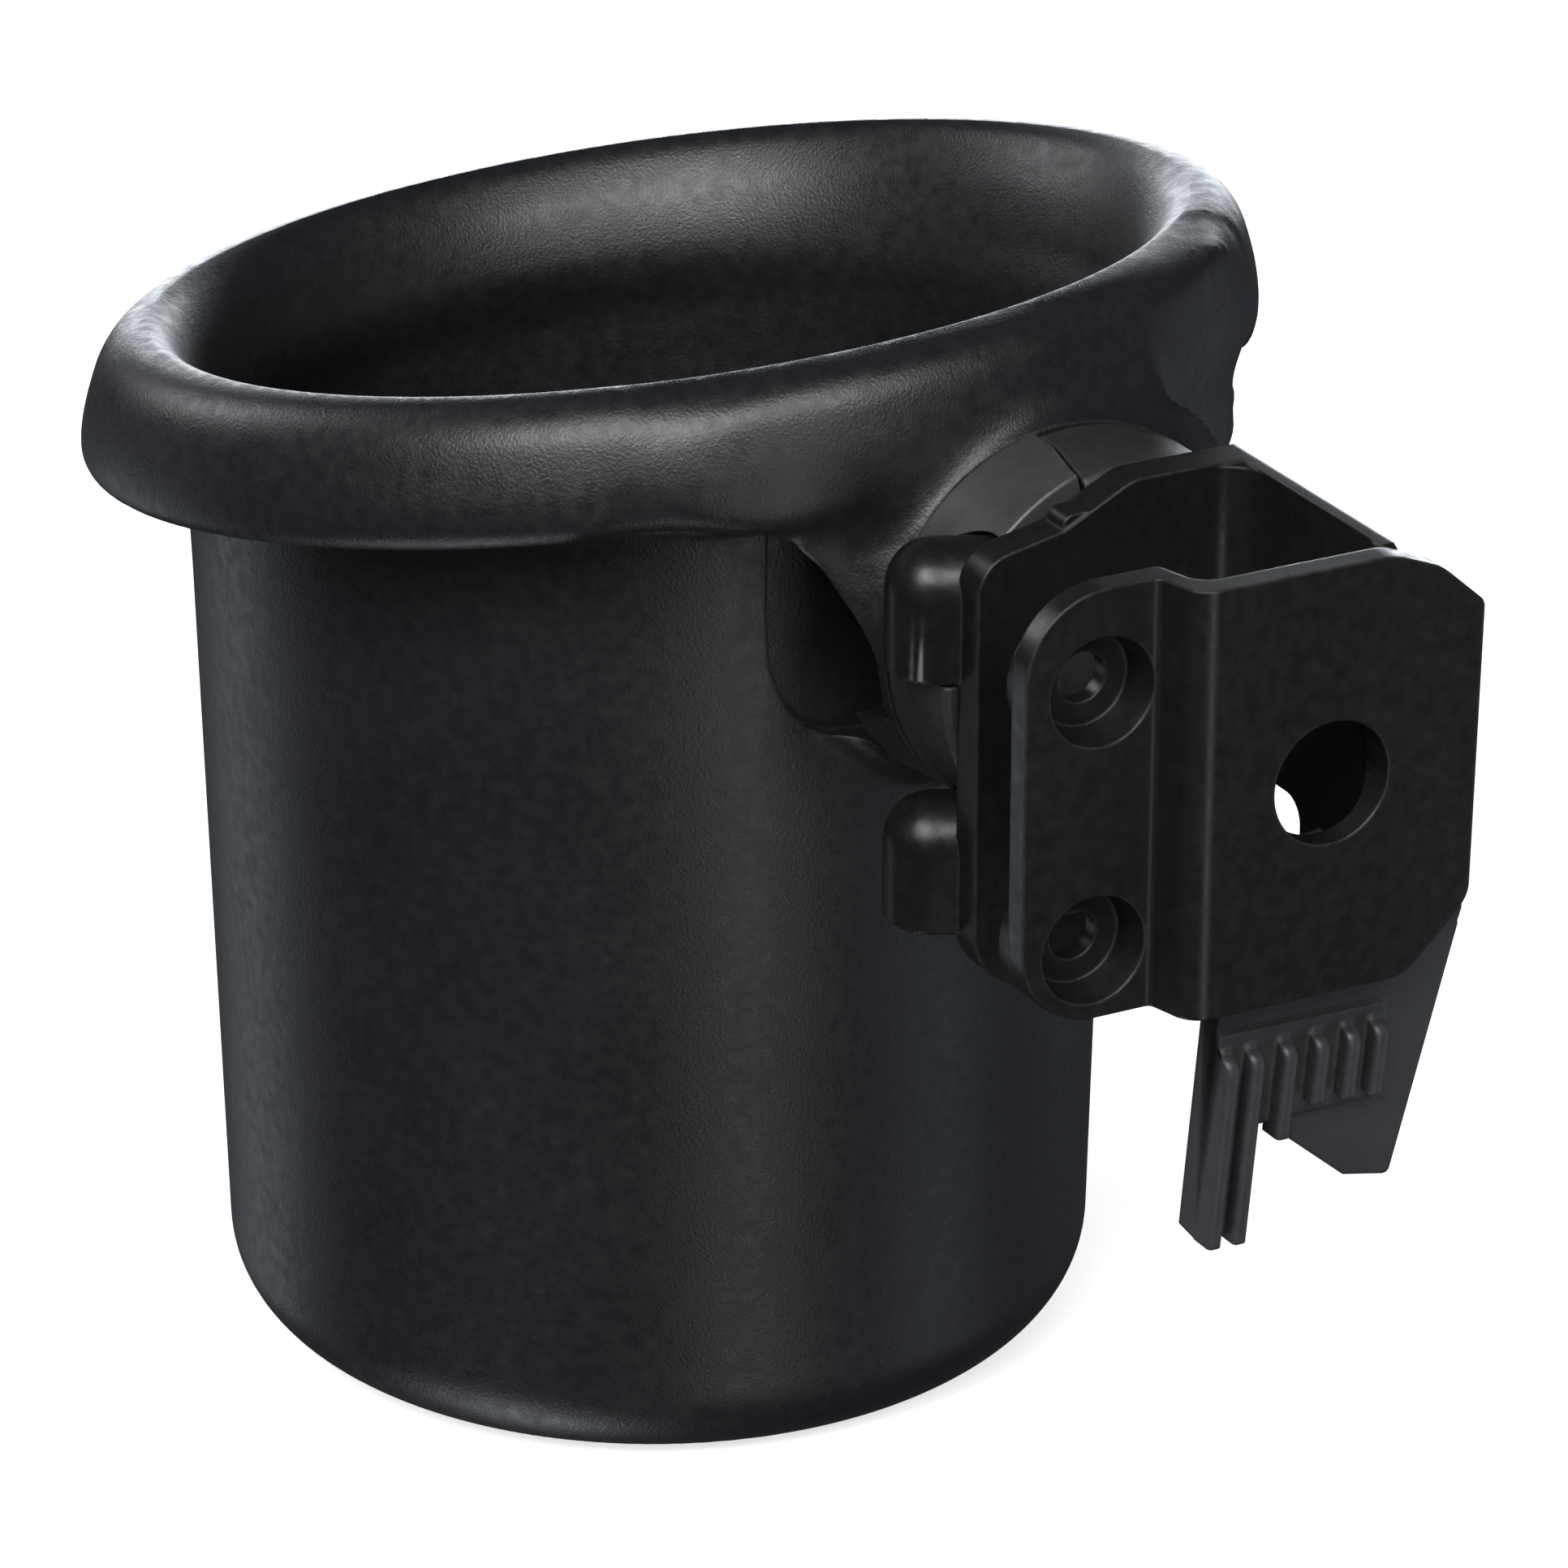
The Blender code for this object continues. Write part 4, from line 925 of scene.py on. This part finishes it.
MATS = {
    "cup_black": surface(
        "cup_black_look", dark=(0.0058, 0.0061, 0.0074), light=(0.0108, 0.0112, 0.0130),
        rough=0.39, specular=0.54, grain=3400, grain_mm=0.060, grain_part=0.8),
    # the clamp's light edge colour is mostly a painted highlight on its rims, with some wear
    "clamp_black": surface(
        "clamp_black_look", dark=(0.0050, 0.0049, 0.0049), light=(0.0092, 0.0090, 0.0089),
        rough=0.34, specular=0.38, edge=0.0004, edge_wear_and_highlight_color=(0.050, 0.050, 0.051),
        grain=3000, grain_mm=0.016),
    # the hub's base colours are raised above the clamp's black: painted light for its lit face,
    # the hub being the same near-black plastic
    "hub_black": surface(
        "hub_black_painted_light_look", dark=(0.0200, 0.0190, 0.0176), light=(0.0340, 0.0325, 0.0300),
        rough=0.36, grain=2600, grain_mm=0.012),
    # the latch ring's base colours are raised well above the clamp's black: painted light standing
    # in for its bright sheen on the same near-black plastic
    "latch_black": surface(
        "latch_black_painted_light_look", dark=(0.034, 0.034, 0.033), light=(0.060, 0.060, 0.058),
        rough=0.25, specular=1.0, grain=2200, grain_mm=0.008, rough_var=0.05),
    # the lever's base colours are raised above the clamp's black: painted light for its lit face,
    # the lever being the same near-black plastic
    "lever_black": surface(
        "lever_black_painted_light_look", dark=(0.0270, 0.0280, 0.0310), light=(0.0440, 0.0455, 0.0490),
        rough=0.35, grain=3000, grain_mm=0.014),
    "steel": surface(
        "steel_look", dark=(0.42, 0.42, 0.43), light=(0.60, 0.60, 0.61), rough=0.30,
        metallic=1.0, grain=1800, grain_mm=0.006, brushed=(1.0, 0.12, 1.0),
        edge_wear_and_highlight_color=(0.75, 0.75, 0.76)),
    "spring_steel": surface(
        "spring_steel_look", dark=(0.30, 0.30, 0.32), light=(0.46, 0.46, 0.48), rough=0.34,
        metallic=1.0, grain=1500, grain_mm=0.006, edge_wear_and_highlight_color=(0.6, 0.6, 0.62)),
    "brass": surface(
        "brass_look", dark=(0.55, 0.39, 0.17), light=(0.76, 0.57, 0.28), rough=0.33,
        metallic=1.0, grain=1600, grain_mm=0.010, brushed=(0.1, 1.0, 1.0),
        edge_wear_and_highlight_color=(0.9, 0.74, 0.42)),
    "rubber": surface(
        "rubber_look", dark=(0.0075, 0.0075, 0.0075), light=(0.0140, 0.0138, 0.0135),
        rough=0.78, grain=1500, grain_mm=0.05, grain_part=0.8, rough_var=0.10),
}


# ---- pieces in place of the CAD's ------------------------------------------
SLOT_OF = {row["node"]: row["material_slot"] for row in frame["record"]["subparts"]}
BODY_OF = {name: body for body, names in frame["record"]["behaviour"]["bodies"].items()
           for name in names}


def dress(obj, slot_name):
    obj.data.materials.clear()
    obj.data.materials.append(MATS[slot_name])


def stand_in(obj, cad, name, sharp=50):
    """Puts a fine piece in a CAD node's place; sharp is the shading angle in degrees."""
    obj.name = name
    shade(obj, sharp)
    dress(obj, SLOT_OF[cad])
    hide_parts(cad)
    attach(obj, BODY_OF[cad])


# every CAD node gets its finish; the ones with a finer stand-in are then replaced
for cad_name, cad_obj in frame["nodes"].items():
    dress(cad_obj, SLOT_OF[cad_name])
    shade(cad_obj, 32)

stand_in(build_cup(), "cup_body", "cup_body_shell", sharp=38)
stand_in(soften(build_hub(), width=0.00025), "swivel_hub", "swivel_hub_shell")
stand_in(soften(build_latch(), width=0.00022), "latch_ring", "latch_ring_segment")
stand_in(soften(build_bracket(), width=0.00028), "clamp_bracket", "clamp_bracket_shell")
stand_in(soften(build_lever(), width=0.00010, angle=50, segments=1),
         "release_lever", "release_lever_shell")
stand_in(soften(build_bolt(), width=0.0002), "swivel_bolt", "swivel_bolt_turned")
back_pad = jaw_pad("jaw_pad_back", rectangle(1.5, 16.0, 69.0, 96.0), x0=73.3, x1=74.8,
                   centre=(AXIS_Y - 0.3, AXIS_Z), hole_r=5.8)
stand_in(soften(back_pad, width=0.0003), "jaw_pad_back", "jaw_pad_back_rubber")
front_pad = jaw_pad("jaw_pad_front", rectangle(4.9, 16.0, 78.5, 103.5), x0=94.6, x1=96.1,
                    centre=ACCESS, hole_r=6.3)
stand_in(soften(front_pad, width=0.0003), "jaw_pad_front", "jaw_pad_front_rubber")
stand_in(build_ball(), "detent_ball", "detent_ball_ground", sharp=60)
stand_in(coil("detent_spring", centre=(63.6, *DETENT), axis=(1, 0, 0), radius=1.15, wire=0.22,
              turns=4.5, length=4.9), "detent_spring", "detent_spring_wire", sharp=60)
stand_in(coil("lever_spring", centre=(PIN_X, 12.55, PIN_Z), axis=(0, 1, 0), radius=2.15,
              wire=0.35, turns=4.0, length=3.3), "lever_spring", "lever_spring_wire", sharp=60)


# ---- stage -----------------------------------------------------------------
def make_world():
    """White to the camera, a faint cool light to everything else."""
    world = bpy.data.worlds.new("studio")
    bpy.context.scene.world = world
    world.use_nodes = True
    tree = world.node_tree
    tree.nodes.clear()
    out = node(tree, "ShaderNodeOutputWorld")
    seen = node(tree, "ShaderNodeBackground", Color=(1, 1, 1, 1), Strength=1.0)
    light = node(tree, "ShaderNodeBackground", Color=(0.80, 0.88, 1.0, 1), Strength=0.058)
    path = node(tree, "ShaderNodeLightPath")
    mix = node(tree, "ShaderNodeMixShader")
    tree.links.new(path.outputs["Is Camera Ray"], mix.inputs[0])
    tree.links.new(light.outputs[0], mix.inputs[1])
    tree.links.new(seen.outputs[0], mix.inputs[2])
    tree.links.new(mix.outputs[0], out.inputs[0])


def make_floor():
    """A pale, faintly glowing disc just under the cup."""
    bm = bmesh.new()
    bmesh.ops.create_circle(bm, cap_ends=True, segments=64, radius=1.6)
    mesh = bpy.data.meshes.new("floor")
    bm.to_mesh(mesh)
    bm.free()
    floor = bpy.data.objects.new("floor", mesh)
    floor.location = (0, 0, -0.0002)
    bpy.context.scene.collection.objects.link(floor)
    mat, tree, bsdf = new_material("floor_pale")
    noise = node(tree, "ShaderNodeTexNoise", Scale=3.0, Detail=3.0)
    tint = node(tree, "ShaderNodeMix", data_type="RGBA", A=(0.90, 0.90, 0.905, 1),
                B=(0.93, 0.93, 0.93, 1), Factor=noise.outputs["Fac"])
    tree.links.new(tint.outputs["Result"], bsdf.inputs["Base Color"])
    bsdf.inputs["Roughness"].default_value = 0.9
    bsdf.inputs["Emission Color"].default_value = (1, 1, 1, 1)
    bsdf.inputs["Emission Strength"].default_value = 0.70
    floor.data.materials.append(mat)
    # no reflection or bounce of the floor reaches the object, so its black stays black
    floor.visible_glossy = False
    floor.visible_diffuse = False
    floor.visible_shadow = False


def area(name, azimuth, elevation, distance, width, height, power, at=(0.01, 0.0, 0.06),
         color=(1, 1, 1)):
    """A softbox facing the point at, seen from there in degrees (0 is +X, 90 is +Y)."""
    data = bpy.data.lights.new(name, "AREA")
    data.shape = "RECTANGLE"
    data.size, data.size_y = width, height
    data.energy = power
    data.color = color
    data.spread = math.radians(180)
    lamp = bpy.data.objects.new(name, data)
    a, e = math.radians(azimuth), math.radians(elevation)
    toward = Vector((math.cos(a) * math.cos(e), math.sin(a) * math.cos(e), math.sin(e)))
    lamp.location = Vector(at) + toward * distance
    lamp.rotation_euler = (-toward).to_track_quat("-Z", "Y").to_euler()
    bpy.context.scene.collection.objects.link(lamp)
    lamp.visible_camera = False


def make_lights():
    area("strip_front", azimuth=-4, elevation=-12, distance=0.75, width=0.12, height=0.75,
         power=0.80)
    area("front_soft", azimuth=-48, elevation=42, distance=0.85, width=0.55, height=0.45,
         power=7.2)
    area("front_high", azimuth=-2, elevation=40, distance=0.85, width=0.35, height=0.30,
         power=2.9)
    area("backdrop", azimuth=152, elevation=3, distance=0.80, width=0.62, height=0.30,
         power=3.4, color=(0.88, 0.94, 1.0))
    area("left_high", azimuth=-150, elevation=26, distance=0.80, width=0.30, height=0.30,
         power=1.2, color=(0.95, 0.97, 1.0))
    area("side_right", azimuth=92, elevation=-14, distance=0.80, width=0.45, height=0.40,
         power=0.15, color=(0.82, 0.91, 1.0))
    area("low_right", azimuth=58, elevation=-24, distance=0.32, width=0.14, height=0.30,
         power=0.10, at=(0.0988, 0.03, 0.07), color=(0.80, 0.90, 1.0))
    area("low_left", azimuth=-150, elevation=-24, distance=0.80, width=0.40, height=0.40,
         power=0.35, color=(0.82, 0.91, 1.0))
    area("under", azimuth=-89, elevation=-66, distance=0.40, width=0.12, height=0.20,
         power=0.22, color=(0.9, 0.95, 1.0))


def make_camera():
    """A long lens looking down from +X and -Y."""
    data = bpy.data.cameras.new("camera")
    data.sensor_width = 36.0
    data.lens = 158.4
    data.clip_start = 0.05
    camera = bpy.data.objects.new("camera", data)
    camera.location = (0.54762, -0.27128, 0.32183)
    camera.rotation_euler = (math.radians(66.24), 0.0, math.radians(62.48))
    bpy.context.scene.collection.objects.link(camera)
    bpy.context.scene.camera = camera


make_world()
make_floor()
make_lights()
make_camera()
bpy.context.scene.view_settings.view_transform = "Standard"
